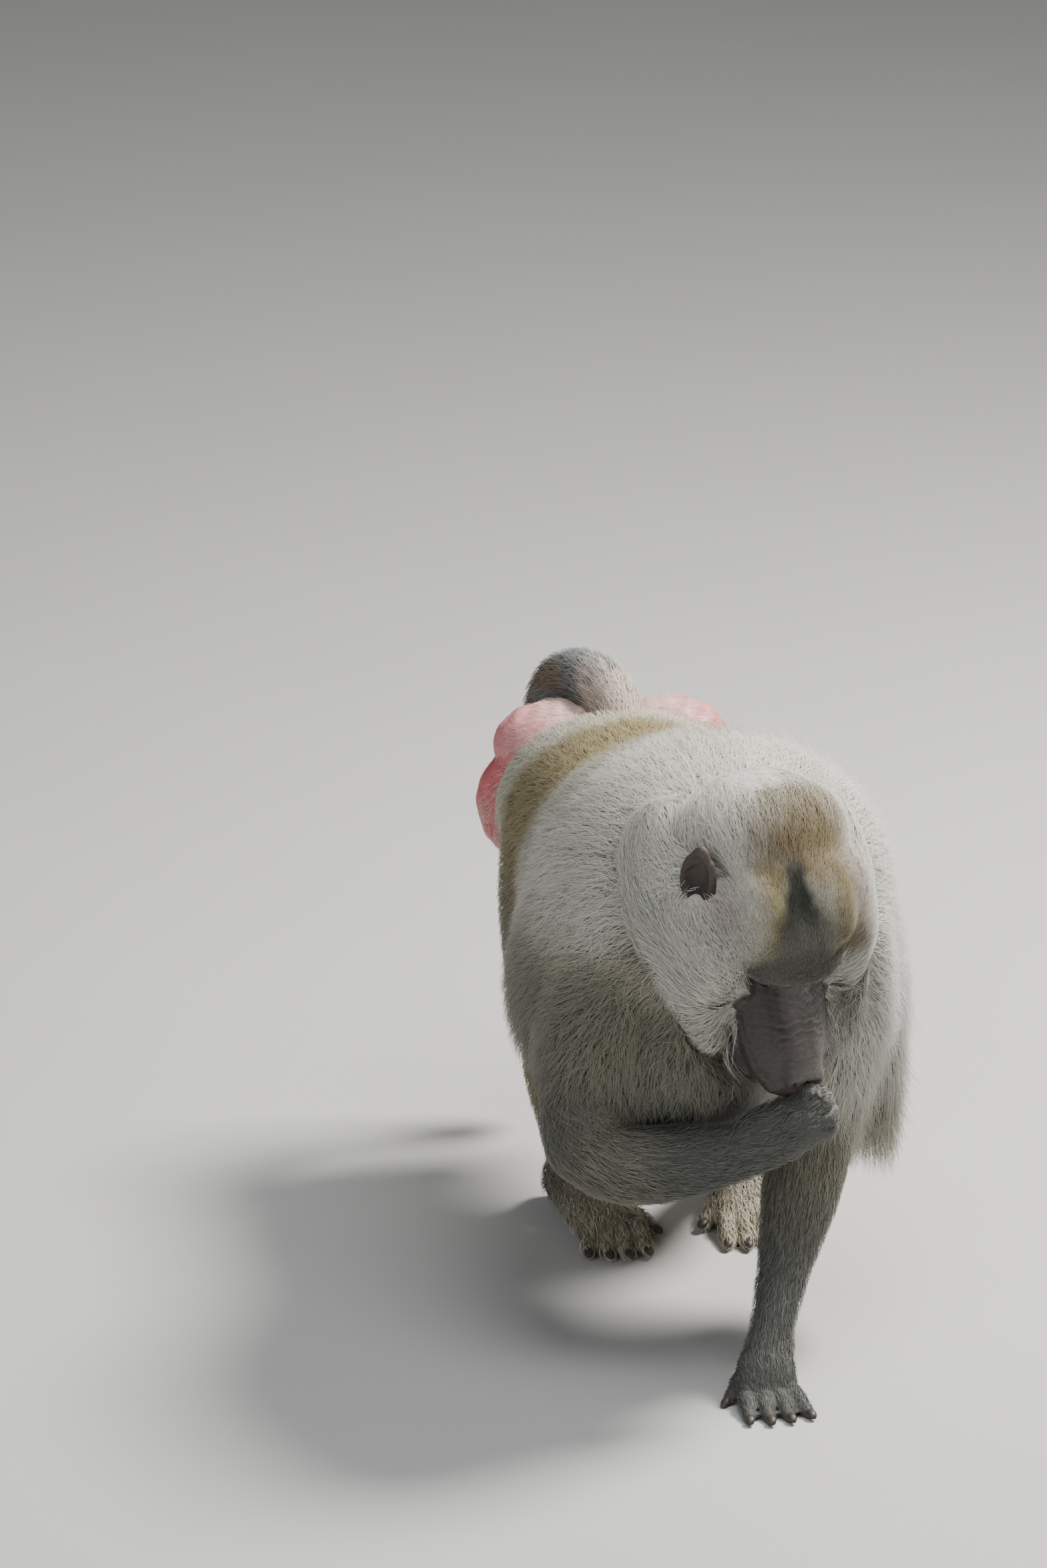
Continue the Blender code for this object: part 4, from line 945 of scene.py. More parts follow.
class Markings:
    """The colours of skin and coat, as formulas of place, so that both carry the same pattern."""

    spines: dict[str, Spine] = {
        name: Spine(getattr(BUILD, name))
        for name in (
            "thigh_right", "thigh_left", "upper_arm_right", "shank_right", "shank_left",
            "forearm_left", "forearm_right", "tail",
        )
    }

    @staticmethod
    def lobe_reach(points: Array) -> tuple[Array, Array]:
        """How far each point is from the swollen lobes, and which lobe is nearest.

        Args:
            points: places, one a row.

        Returns:
            One at a lobe's surface and more outside it, and the lobe's number.
        """
        reaches = []
        for row in BUILD.lobes:
            for side in (-1.0, 1.0):
                middle = np.array((BUILD.rump_middle + side * row[0], row[1], row[2]))
                reaches.append(np.linalg.norm((points - middle) / np.array(row[3:]), axis=1))
        table = np.stack(reaches, axis=1)
        return table.min(1), table.argmin(1) // 2

    @classmethod
    def bare_rump(cls, points: Array) -> Array:
        """Share of swollen bare skin at each point."""
        reach, _ = cls.lobe_reach(points)
        return (1.0 - smooth(reach, 1.03, 1.10)) * smooth(points[:, 1], 0.296, 0.306)

    @staticmethod
    def crown(points: Array) -> Array:
        """Share of the golden patch, which spreads from the crown over the nape's long hair."""
        x, y, z = HEAD.inward(points).T
        fine = mottle(points, 0.022, 5)
        far = np.hypot((x - 0.018) / 0.050, (y - 0.042 + 0.006 * fine) / 0.046)
        return 0.92 * (1.0 - smooth(far + 0.12 * fine, 0.40, 1.50)) * smooth(z, -0.050, 0.000)

    @classmethod
    def body(cls, points: Array) -> tuple[Array, Array]:
        """The coat of trunk, mane, thighs and upper arms.

        Args:
            points: places, one a row.

        Returns:
            Colours at a hair's root and at its tip.
        """
        x, y, z = points.T
        wide = mottle(points, 0.09, 3)
        fine = mottle(points, 0.03, 4)
        right = 1.0 - smooth(x, -0.05, 0.06)
        under = smooth(-z, -0.42, -0.30)
        olive = mix(Shade.OLIVE.rgb, Shade.AGOUTI.rgb, under)
        olive = mix(olive, Shade.OCHRE.rgb, 0.25 * smooth(fine, 0.0, 1.0))
        dark = mix(Shade.OLIVE_DARK.rgb, Shade.AGOUTI_DARK.rgb, under)
        line = -0.045 + 0.022 * wide + 0.010 * fine
        silver = 1.0 - smooth(y - line, -0.045, 0.045)
        edge = 0.430 * right + 0.27 * (1.0 - right) + 0.02 * wide
        silver = silver * smooth(z - edge, -0.05, 0.05)
        agouti = (1.0 - smooth(y, -0.03, 0.05)) * (1.0 - silver)
        coat = over((dark, olive), Shade.AGOUTI_DARK.rgb, Shade.AGOUTI.rgb * 1.05, agouti)
        beige = (1.0 - right) * (1.0 - smooth(y, -0.02, 0.05)) * (1.0 - silver)
        coat = over(coat, Shade.BEIGE.rgb * 0.6, Shade.BEIGE.rgb, beige * smooth(x, 0.05, 0.12))
        bright = Shade.SILVER.rgb * (1.0 + 0.05 * fine[:, None])
        coat = over(coat, Shade.SILVER_ROOT.rgb, bright, silver)
        slate = (1.0 - smooth(z, 0.25, 0.34)) * right * (1.0 - smooth(y, -0.13, -0.08))
        coat = over(coat, Shade.SLATE.rgb, Shade.SLATE_TIP.rgb, slate)
        reach, _ = cls.lobe_reach(points)
        ring = (1.0 - smooth(reach + 0.08 * fine, 2.30, 2.80)) * smooth(y, 0.215, 0.240)
        border = mix(Shade.RING.rgb, Shade.OCHRE.rgb, smooth(-z, -0.40, -0.34) * 0.7)
        root, tip = over(coat, border * 0.75, border, ring)
        gold = smooth(y, 0.03, 0.08) * (1.0 - smooth(z, 0.25, 0.33))
        tip = mix(tip, Shade.OLIVE.rgb * 1.15, gold * (1.0 - ring))
        return over((root, tip), Shade.GOLD.rgb * 0.7, Shade.GOLD.rgb * 1.2, cls.crown(points))

    @classmethod
    def rump(cls, points: Array) -> Array:
        """The bare skin of the rump."""
        _, lobe = cls.lobe_reach(points)
        x, y, z = points.T
        fine = mottle(points, 0.012, 8)
        colour = np.where((lobe == 1)[:, None], Shade.RED.rgb, Shade.PINK.rgb)
        colour = mix(colour, Shade.RED.rgb, smooth(np.abs(x - BUILD.rump_middle), 0.085, 0.12) * 0.6)
        near_tail = np.linalg.norm(points - np.array((-0.013, 0.33, 0.475)), axis=1)
        colour = mix(colour, Shade.PALE_PINK.rgb, 0.75 * (1.0 - smooth(near_tail, 0.03, 0.09)))
        colour = mix(colour, Shade.OCHRE.rgb, 0.55 * (1.0 - smooth(z, 0.30, 0.36)))
        pad = (lobe == 4) & (y > 0.36)
        colour = np.where(pad[:, None], Shade.PAD.rgb, colour)
        return colour * (1.0 + 0.07 * fine[:, None])

    @staticmethod
    def bare_face(local: Array) -> Array:
        """Share of bare skin on the face, in the head's frame."""
        x, y, z = local.T
        side = np.abs(x - muzzle_middle(y))
        # The coat comes down from the brow's ends along the muzzle's sides to the jaw.
        edge = -0.081 + 0.47 * (z + 0.0055)
        edge = edge - 0.018 * smooth(side, 0.038, 0.044) * smooth(-z, 0.02, 0.04)
        bare = np.maximum(1.0 - smooth(y - edge, -0.004, 0.004), 1.0 - smooth(side, 0.031, 0.036))
        under_brow = 1.0 - smooth(z, 0.019, 0.026)
        ahead = 1.0 - smooth(y, -0.092, -0.084)
        jaw = 1.0 - smooth(-z - 0.35 * (y + 0.10), 0.070, 0.080) * smooth(y, -0.130, -0.105)
        return bare * np.maximum(under_brow, ahead) * jaw

    @staticmethod
    def temple_patch(local: Array, at: Triple, radii: Triple) -> Array:
        """Share of the thin-haired patch in front of each ear, in the head's frame."""
        x, y, z = local.T
        return bell(*zip((np.abs(x), y, z), at, radii))

    @classmethod
    def head(cls, points: Array) -> tuple[Array, Array]:
        """The coat of the head.

        Args:
            points: places, one a row.

        Returns:
            Colours at a hair's root and at its tip.
        """
        local = HEAD.inward(points)
        x, y, z = local.T
        side = np.abs(x)
        fine = mottle(points, 0.016, 5)
        low = smooth(-z, 0.03, 0.09)
        silver = np.tile(Shade.SILVER.rgb, (len(points), 1))
        tip = mix(silver, Shade.CREAM.rgb, 0.45 * low * smooth(-y, 0.02, 0.10))
        root = np.tile(Shade.SILVER_ROOT.rgb, (len(points), 1))
        top = smooth(z, 0.012, 0.030)
        ahead = 1.0 - smooth(y + 0.006 * fine, 0.010, 0.045)
        # The temple's crest is yellow, and its outer side whitish. On the head's left the band is
        # browner and darker: partly the coat's own colour, partly painted shade.
        at = np.where(x < 0, 0.0225, 0.046)
        wide = np.where(x < 0, 0.0185, 0.025)
        band = bell((side + 0.003 * fine, at, wide)) * ahead * top
        yellow = mix(Shade.TEMPLE.rgb, Shade.GOLD.rgb * 1.4, 0.5 * (x > 0))
        tip = mix(tip, yellow, 0.90 * band)
        root = mix(root, Shade.GOLD.rgb * 0.55, 0.75 * band)
        coat = over((root, tip), Shade.GOLD.rgb * 0.7, Shade.GOLD.rgb * 1.2, cls.crown(points))
        # Down the forehead's middle the coat is painted charcoal at the back, a painted shadow in the
        # furrow between the temples, and turns to the brow's grey ahead.
        ahead_of = np.clip(0.006 - y, 0.0, 0.1)
        half = 0.0095 + 0.36 * ahead_of * smooth(ahead_of, -0.010, 0.030)
        groove = 1.0 - smooth(side + 0.0015 * fine, half * 0.50, half * 1.45)
        groove = groove * (1.0 - smooth(y, 0.010, 0.034)) * top
        grey = mix(Shade.GROOVE.rgb, Shade.BROW.rgb, smooth(-y, 0.018, 0.058))
        coat = over(coat, grey * 0.7, grey * 1.25, groove)
        brow = smooth(-y, 0.052, 0.062) * smooth(z, 0.018, 0.028)
        brow = brow * (1.0 - smooth(side, 0.044, 0.054))
        root, tip = over(coat, Shade.FACE.rgb, Shade.BROW.rgb * 1.1, brow)
        patch = cls.temple_patch(local, (0.064, -0.006, 0.040), (0.016, 0.026, 0.024))
        root = mix(root, Shade.PATCH.rgb, np.clip(1.4 * patch, 0.0, 1.0))
        return root, mix(tip, Shade.PATCH.rgb * 1.3, 0.7 * patch)

    @classmethod
    def face(cls, local: Array) -> Array:
        """The bare skin of face and muzzle, in the head's frame, with painted light on the bridge's
        top and painted shade at the eyes and the mouth line.
        """
        x, y, z = local.T
        fine = mottle(local, 0.010, 6)
        wide = mottle(local, 0.03, 7)
        middle = x - muzzle_middle(y) - 0.006
        # The bridge's top is painted lighter than the muzzle's sides: painted light.
        ridge = 1.0 - smooth(np.abs(middle), 0.010, 0.027)
        ridge = ridge * smooth(z - 0.3 * (y + 0.1), -0.024, -0.008)
        colour = mix(np.tile(Shade.FACE.rgb, (len(x), 1)), Shade.FACE_LIT.rgb, 0.85 * ridge)
        # Painted shade in the eye sockets, under the brow.
        eyes = bell((np.abs(x), 0.024, 0.013), (z, 0.012, 0.012))
        colour = mix(colour, Shade.FACE_DEEP.rgb, eyes * 0.8)
        # Painted shade along the mouth line.
        lips = bell((z, -0.055, 0.006)) * (1.0 - smooth(y, -0.10, -0.08))
        colour = mix(colour, Shade.FACE_DEEP.rgb, 0.6 * lips)
        return colour * (1.0 + 0.09 * fine[:, None] + 0.08 * wide[:, None])

    @classmethod
    def limb(cls, points: Array, kind: "Limb") -> tuple[Array, Array]:
        """The coat of a limb below elbow or knee.

        Args:
            points: places, one a row.
            kind: which limb.

        Returns:
            Colours at a hair's root and at its tip.
        """
        x, y, z = points.T
        fine = mottle(points, 0.02, 9)
        ones = np.ones((len(points), 1))
        if kind.hind:
            tip = mix(Shade.OLIVE.rgb * ones * 1.1, Shade.AGOUTI.rgb, smooth(-z, -0.16, -0.07))
            root = Shade.OLIVE_DARK.rgb * ones
            pale = smooth(-z, -0.085, -0.045) * smooth(-y, -0.20, -0.13)
            tip = mix(tip, Shade.FOOT.rgb, np.clip(pale * (0.85 + 0.25 * fine), 0.0, 1.0))
            root = mix(root, Shade.FOOT_SKIN.rgb, smooth(-z, -0.060, -0.030) * (1.0 - pale))
            root = mix(root, Shade.FOOT.rgb * 0.75, pale)
            return root, tip
        dark = smooth(-z, -0.20, -0.09) if kind is Limb.ARM_LEFT else smooth(x, -0.11, -0.03)
        tip = mix(Shade.AGOUTI.rgb * ones, Shade.SLATE_TIP.rgb, 0.3 + 0.7 * dark)
        if kind is Limb.ARM_LEFT:
            tip = mix(tip, Shade.BEIGE.rgb, 0.6 * smooth(z, 0.17, 0.24))
        root = mix(Shade.AGOUTI_DARK.rgb * ones, Shade.SLATE.rgb, dark)
        tip = mix(tip, Shade.SLATE.rgb * 1.6, 0.35 * dark)
        if kind is Limb.ARM_RIGHT:
            knuckles = smooth(z, 0.262, 0.285) * smooth(x, 0.056, 0.074)
            tip = mix(tip, Shade.SILVER_ROOT.rgb, 0.85 * knuckles)
            root = mix(root, Shade.SLATE_TIP.rgb, 0.6 * knuckles)
        return root, tip

    @classmethod
    def tail(cls, points: Array) -> tuple[Array, Array]:
        """The tail's coat, blue-grey on top, brown at its right and pale at its root."""
        _, _, run, offset = cls.spines["tail"].nearest(points)
        ones = np.ones((len(points), 1))
        brown = 0.8 * smooth(-offset[:, 0], 0.008, 0.022) * smooth(run, 0.07, 0.11)
        tip = mix(Shade.TAIL.rgb * ones * 1.5, Shade.TAIL_SIDE.rgb * 1.3, brown)
        root = mix(Shade.TAIL.rgb * ones, Shade.TAIL_SIDE.rgb, brown)
        pale = 1.0 - smooth(run + 0.012 * mottle(points, 0.02, 2), 0.045, 0.085)
        tip = mix(tip, Shade.RING.rgb, pale)
        root = mix(root, Shade.PALE_PINK.rgb * 0.9, pale)
        tuft = smooth(run, 0.33, 0.40)
        return mix(root, Shade.BEIGE.rgb * 0.7, tuft), mix(tip, Shade.BEIGE.rgb, tuft)


class Limb(Enum):
    """The four limbs below elbow and knee."""

    ARM_LEFT = "arm_left"
    ARM_RIGHT = "arm_right"
    LEG_LEFT = "leg_left"
    LEG_RIGHT = "leg_right"

    @property
    def hind(self) -> bool:
        """True for a hind limb."""
        return self.value.startswith("leg")

    def named(self, fore: str, hind: str) -> str:
        """The name of a part on this limb's side, from the words for a fore and a hind limb."""
        return f"{hind if self.hind else fore}_{self.value.split('_')[1]}"

    @property
    def spine(self) -> Spine:
        """The line through the limb."""
        return Markings.spines[self.named("forearm", "shank")]

    @property
    def nodes(self) -> tuple[str, str]:
        """The solids that this limb's skin stands for."""
        return self.named("forearm", "shank"), self.named("hand", "foot")


class Wire:
    """A shader socket that takes part in sums and products."""

    def __init__(self, shop: "Shop", socket: bpy.types.NodeSocket) -> None:
        """Holds a socket and the node tree that it is in."""
        self.shop = shop
        self.socket = socket

    def _math(self, operation: str, *values: "Wire | float") -> "Wire":
        """Adds a Math node with these values."""
        return self.shop.node("ShaderNodeMath", {"operation": operation}, dict(enumerate(values)))

    def __add__(self, other: "Wire | float") -> "Wire":
        """This plus other."""
        return self._math("ADD", self, other)

    def __rsub__(self, other: "Wire | float") -> "Wire":
        """Other minus this."""
        return self._math("SUBTRACT", other, self)

    def __mul__(self, other: "Wire | float") -> "Wire":
        """This times other."""
        return self._math("MULTIPLY", self, other)


class Shop:
    """Builds one material's nodes."""

    def __init__(self, name: str) -> None:
        """Starts a material with an empty Principled shader."""
        self.material = bpy.data.materials.new(name)
        self.material.use_nodes = True
        self.tree = self.material.node_tree
        self.shader = self.tree.nodes["Principled BSDF"]

    def node(self, kind: str, settings: dict, inputs: dict, output: int | str = 0) -> Wire:
        """Adds a node.

        Args:
            kind: the node's type.
            settings: its own settings, set first.
            inputs: values or wires for its sockets.
            output: which of its outputs is given back.

        Returns:
            The output as a wire.
        """
        made = self.tree.nodes.new(kind)
        for key, value in settings.items():
            setattr(made, key, value)
        for key, value in inputs.items():
            self.plug(made.inputs[key], value)
        return Wire(self, made.outputs[output])

    def plug(self, socket: bpy.types.NodeSocket, value: "Wire | float | Sequence[float]") -> None:
        """Links a wire to a socket, or sets its value."""
        if isinstance(value, Wire):
            self.tree.links.new(value.socket, socket)
        else:
            socket.default_value = value

    def tint(self) -> Wire:
        """The colour that skin and coat carry."""
        return self.node("ShaderNodeAttribute", {"attribute_name": TINT}, {}, "Color")

    def noise(self, scale: float, detail: float, stretch: Triple = (1.0, 1.0, 1.0)) -> Wire:
        """Noise on the object's own coordinates."""
        place = self.node("ShaderNodeTexCoord", {}, {}, "Object")
        at = self.node("ShaderNodeMapping", {}, {"Vector": place, "Scale": stretch})
        return self.node("ShaderNodeTexNoise", {}, {"Vector": at, "Scale": scale, "Detail": detail})

    def cells(self, scale: float) -> Wire:
        """Distance to the middles of cells on the object's own coordinates."""
        place = self.node("ShaderNodeTexCoord", {}, {}, "Object")
        return self.node("ShaderNodeTexVoronoi", {"feature": "F1"}, {"Vector": place, "Scale": scale})

    def blend(self, factor: "Wire | float", first: object, second: object, kind: str = "MIX") -> Wire:
        """Mixes two colours."""
        settings = {"data_type": "RGBA", "blend_type": kind}
        return self.node("ShaderNodeMix", settings, {0: factor, 6: first, 7: second}, 2)

    def shaded(self, share: Wire, dark: Triple) -> Wire:
        """The tint, times the dark colour where the share is low."""
        deep = self.blend(1.0, self.tint(), (*dark, 1.0), "MULTIPLY")
        return self.blend(share, deep, self.tint())

    def ramp(self, value: Wire, low: float, high: float) -> Wire:
        """The value stretched so that low becomes 0 and high becomes 1."""
        inputs = {"Value": value, "From Min": low, "From Max": high}
        return self.node("ShaderNodeMapRange", {"interpolation_type": "SMOOTHSTEP"}, inputs)

    def bump(self, height: Wire, strength: float, distance: float) -> Wire:
        """A normal from a height, through Bump."""
        inputs = {"Height": height, "Strength": strength, "Distance": distance}
        return self.node("ShaderNodeBump", {}, inputs)

    def finish(self, inputs: Inputs) -> bpy.types.Material:
        """Feeds the shader's inputs by their names, and gives the material back."""
        for name, value in inputs.items():
            self.plug(self.shader.inputs[name], value)
        return self.material


@dataclass(frozen=True)
class Hair:
    """Finish of the coat: the hair's own colour, a fine grain and a soft sheen."""

    name: str
    roughness: float = 0.62
    sheen: float = 0.25
    grain: float = 0.22
    specular: float = 0.28

    def material(self) -> bpy.types.Material:
        """Makes the material."""
        shop = Shop(self.name)
        grain = shop.ramp(shop.noise(420.0, 2.0), 0.30, 0.70)
        inputs = {
            "Base Color": shop.shaded(grain, (1.0 - self.grain,) * 3),
            "Roughness": grain * 0.18 + (self.roughness - 0.09),
            "Sheen Weight": self.sheen,
            "Sheen Roughness": 0.45,
            "Specular IOR Level": self.specular,
        }
        return shop.finish(inputs)


@dataclass(frozen=True)
class Underfur:
    """Finish of the skin below a coat: short dense fur as bump, in the coat's colours."""

    name: str
    depth: float = 0.0016
    dark: float = 0.72

    def material(self) -> bpy.types.Material:
        """Makes the material."""
        shop = Shop(self.name)
        height = shop.noise(520.0, 3.0, (1.0, 0.45, 1.0)) * 0.7 + shop.noise(110.0, 2.0) * 0.5
        share = shop.ramp(height, 0.42, 0.80)
        inputs = {
            # The colour is darker where the fur's bump is low: painted shade between the short hairs.
            "Base Color": shop.shaded(share, (self.dark,) * 3),
            "Roughness": 0.92 - share * 0.2,
            "Specular IOR Level": 0.15,
            "Normal": shop.bump(height, 0.9, self.depth),
        }
        return shop.finish(inputs)


@dataclass(frozen=True)
class BareSkin:
    """Finish of bare skin: pores, fine creases and blotches, a little oily."""

    name: str
    roughness: float = 0.52
    pores: float = 1100.0
    creases: float = 170.0
    depth: float = 0.0007
    subsurface: float = 0.0
    coat: float = 0.0

    def material(self) -> bpy.types.Material:
        """Makes the material."""
        shop = Shop(self.name)
        creases = shop.noise(self.creases, 5.0, (1.0, 1.0, 2.6))
        pores = shop.ramp(shop.cells(self.pores), 0.0, 0.55)
        height = creases * 0.9 + pores * 0.22 + shop.noise(55.0, 4.0) * 0.4
        share = shop.ramp(height, 0.55, 1.00)
        inputs = {
            # The colour is darker where the bump is low, in creases and pores: painted shade.
            "Base Color": shop.shaded(share, (0.70, 0.68, 0.68)),
            "Roughness": self.roughness + 0.12 - share * 0.16,
            "Subsurface Weight": self.subsurface,
            "Subsurface Radius": (0.006, 0.0025, 0.0015),
            "Subsurface Scale": 1.0,
            "Coat Weight": self.coat,
            "Coat Roughness": 0.35,
            "Normal": shop.bump(height, 0.55, self.depth),
        }
        return shop.finish(inputs)


@dataclass(frozen=True)
class Gloss:
    """Finish of eyes and claws: smooth, with a clear coat."""

    name: str
    roughness: float = 0.25
    coat: float = 1.0
    grain: float = 500.0
    depth: float = 0.0001

    def material(self) -> bpy.types.Material:
        """Makes the material."""
        shop = Shop(self.name)
        streak = shop.noise(self.grain, 3.0, (1.0, 1.0, 0.3))
        inputs = {
            "Base Color": shop.shaded(shop.ramp(streak, 0.3, 0.7), (0.62, 0.60, 0.58)),
            "Roughness": streak * 0.12 + self.roughness,
            "Coat Weight": self.coat,
            "Coat Roughness": 0.04,
            "Normal": shop.bump(streak, 0.25, self.depth),
        }
        return shop.finish(inputs)


@dataclass(frozen=True)
class Plaster:
    """Finish of the floor: pale, matt, hardly mottled."""

    name: str = "pale_floor"
    colour: Triple = (0.60, 0.60, 0.585)

    def material(self) -> bpy.types.Material:
        """Makes the material."""
        shop = Shop(self.name)
        deep = tuple(channel * 0.95 for channel in self.colour)
        inputs = {
            "Base Color": shop.blend(shop.noise(3.0, 3.0), (*deep, 1.0), (*self.colour, 1.0)),
            "Roughness": 0.85,
            "Normal": shop.bump(shop.noise(240.0, 3.0), 0.15, 0.0005),
        }
        return shop.finish(inputs)


@dataclass
class Dresser:
    """Finishes a piece: material, place, shading, body and the solids that it stands for."""

    finishes: dict[str, bpy.types.Material] = field(default_factory=dict)

    def wear(self, obj: Piece, finish: object, slot: str, *nodes: str) -> None:
        """Dresses one piece.

        Args:
            obj: the piece, in the part's own numbers.
            finish: its finish.
            slot: not used.
            *nodes: the solids that it stands for.
        """
        if finish.name not in self.finishes:
            self.finishes[finish.name] = finish.material()
        obj.data.materials.clear()
        obj.data.materials.append(self.finishes[finish.name])
        obj.data.transform(Matrix.Translation(SHIFT))
        if not obj.data.has_custom_normals:
            obj.data.shade_smooth()
        obj.data.update()
        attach(obj, BODY)
        if nodes:
            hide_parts(*nodes)
        triangles = sum(len(face.vertices) - 2 for face in obj.data.polygons)
        log.info("%s: %d triangles", obj.name, triangles)


@dataclass
class Head:
    """Head, face, whiskers, ears and eyes, in the head's own frame."""

    dresser: Dresser
    voxel: float = 0.00176
    eye: Triple = (0.0225, -0.060, 0.0140)
    eye_radius: float = 0.0105
    lid_radius: float = 0.0132
    ear_right: Triple = (-0.076, 0.024, 0.033)
    ear_left: Triple = (0.094, 0.032, -0.030)
    ear_faces: Triple = (0.85, -0.36, 0.38)
    ear_long: Triple = (0.0, 0.74, 0.67)
    ear_radii: Triple = (0.0180, 0.0085, 0.0290)
    ear_voxel: float = 0.0012
    skull: Rows = mm(
        (0, 12, 12, 58, 66, 56), (0, -30, 28, 48, 48, 36), (0, 45, -5, 58, 50, 56),
        (0, -20, -30, 44, 50, 40), (0, -42, 36, 40, 32, 22), (31, -10, 34, 31, 46, 34),
        (-31, -10, 34, 31, 46, 34), (0, 52, 0, 82, 56, 70), (64, 18, -34, 48, 82, 58),
        (-64, 18, -34, 48, 82, 58), (0, -10, -80, 74, 84, 40), (53, -4, 3, 40, 56, 46),
        (-58, -4, 6, 42, 56, 48), (66, -86, -72, 24, 46, 30),
    )
    cheek: Rows = mm(
        (50, -4, 26, 30, 30), (58, -24, 4, 34, 42), (62, -34, -26, 36, 52), (56, -50, -52, 34, 50),
        (51, -77, -64, 27, 33), (49, -102, -67, 14, 18),
    )
    brow: Rows = mm(
        (-40, -50, 24, 12, 11), (-24, -64, 33, 15, 11), (0, -69, 35, 15, 10),
        (24, -64, 33, 15, 11), (40, -50, 24, 12, 11),
    )
    cheek_bone: Rows = mm(
        (44, -44, 12, 11, 11), (44, -56, -6, 13, 14), (36, -76, -18, 14, 15),
    )
    muzzle: Rows = mm(
        (0, -40, -16, 41, 38), (1, -66, -18, 42, 36), (2, -92, -24, 42, 34),
        (4, -118, -31, 40.5, 31), (6, -136, -36, 37, 26), (8, -147, -38, 31, 20),
    )
    bridge: Rows = mm(
        (0, -56, 18, 14, 16), (2, -82, 5, 17, 15), (6, -111, -5, 19, 13), (9, -136, -13, 19, 12),
        (11, -149, -18, 17.5, 11),
    )
    jaw: Rows = mm(
        (0, -15, -56, 38, 24), (2, -58, -64, 36, 20), (1, -92, -70, 37, 18),
        (2, -118, -73, 36, 15), (4, -134, -72, 30, 12),
    )
    nose: Triple = (0.011, -0.153, -0.022)
    mouth: Triple = (0.007, -0.155, -0.0570)
    # Creases across the bridge: place along the head, bow and depth.
    wrinkles: tuple[Triple, ...] = (
        (-0.110, 0.10, 0.0010),
        (-0.118, 0.18, 0.0013),
        (-0.127, 0.05, 0.0008),
        (-0.076, -0.12, 0.0008),
        (-0.139, 0.30, 0.0007),
    )

    def build_skin(self) -> Surface:
        """Makes the head's skin, with lids, nostrils, mouth line and creases."""
        forms = Forms(HEAD.matrix)
        for row in self.skull:
            forms.ball(row[:3], row[3:])
        forms.loft(self.brow, side=(0.0, 1.0, 0.0), sides=18)
        for sign in (-1, 1):
            for stations in (self.cheek_bone, self.cheek):
                forms.loft([(x * sign, *rest) for x, *rest in stations])
            forms.ball(self.eye_at(sign), (self.lid_radius,) * 3)
            forms.ball((self.nose[0] + sign * 0.011, *self.nose[1:]), (0.0085, 0.010, 0.0085))
            forms.ball((sign * 0.028, -0.060, -0.040), (0.020, 0.040, 0.030))
        for stations in (self.muzzle, self.bridge, self.jaw):
            forms.loft(stations, sides=28)
        obj = forms.skin("head_skin", self.voxel, 4)
        self.ease(obj)
        skin = Surface(obj)
        self.sculpt(skin)
        for sign in (-1, 1):
            self.open_eye(obj, sign)
        drop_crumbs(obj)
        return Surface(obj)

    def eye_at(self, sign: int) -> Vector:
        """An eye's centre, at the right for -1 and at the left for 1."""
        return Vector((sign * self.eye[0], *self.eye[1:]))

    @staticmethod
    def ease(obj: Piece) -> None:
        """Melts the forms below the coat into each other, and leaves brow and face as they are."""
        local = HEAD.inward(Surface(obj).points)
        bare = Markings.bare_face(local * np.array((0.80, 1.0, 1.0)) - np.array((0.0, 0.012, 0.0)))
        behind = smooth(local[:, 1], -0.050, -0.020)
        share = (1.0 - bare) * np.maximum(behind, smooth(-local[:, 2], 0.0, 0.03))
        group = obj.vertex_groups.new(name="coated")
        steps = np.round(share * 10.0).astype(int)
        for step in range(1, 11):
            group.add(np.flatnonzero(steps == step).tolist(), step / 10.0, "REPLACE")
        soften = obj.modifiers.new("melt", "SMOOTH")
        soften.iterations = 90
        soften.vertex_group = group.name
        apply_modifiers(obj)

    def sculpt(self, skin: Surface) -> None:
        """Presses mouth line, nostrils and creases in, and lets the skin in below the coat."""
        local = HEAD.inward(skin.points)
        x, y, z = local.T
        bare = Markings.bare_face(local)
        depth = -0.0030 * (1.0 - bare)
        reach = np.linspace(-1.0, 1.0, 25)
        mouth = np.stack(
            [
                self.mouth[0] * (1.0 - reach**2) + 0.037 * np.sin(reach * math.pi / 2),
                self.mouth[1] + 0.072 * np.abs(reach) ** 2.2,
                self.mouth[2] + 0.004 * np.abs(reach),
            ],
            axis=1,
        )
        gap, _, _, offset = Spine(mouth).nearest(local)
        front = 1.0 - smooth(y, -0.092, -0.078)
        near = (gap < 0.03) * front
        above = offset[:, 2]
        depth -= 0.0034 * bell((above, 0.0, 0.0017)) * near
        depth += 0.0012 * bell((above, 0.0060, 0.0035)) * near
        depth += 0.0010 * bell((above, -0.0060, 0.0035)) * near
        for sign in (-1, 1):
            nostril = (self.nose[0] + sign * 0.0088, self.nose[1] - 0.0095, self.nose[2] + 0.0015)
            slit = local - np.array(nostril)
            ahead = slit[:, 1] < 0.012
            lean = slit[:, 0] * 0.80 + sign * slit[:, 2] * 0.60
            cross = -sign * slit[:, 0] * 0.60 + slit[:, 2] * 0.80
            hole = np.exp(-((lean / 0.0050) ** 4) - (cross / 0.0024) ** 2) * ahead
            rim = np.exp(-((lean / 0.0072) ** 4) - ((cross / 0.0052) ** 2)) * ahead
            depth += 0.0013 * (rim - hole) - 0.0060 * hole
        middle = x - muzzle_middle(y)
        side = np.abs(middle)
        bridge = (1.0 - smooth(side, 0.018, 0.026)) * smooth(z - 0.3 * (y + 0.1), -0.020, -0.004)
        for at, bow, deep in self.wrinkles:
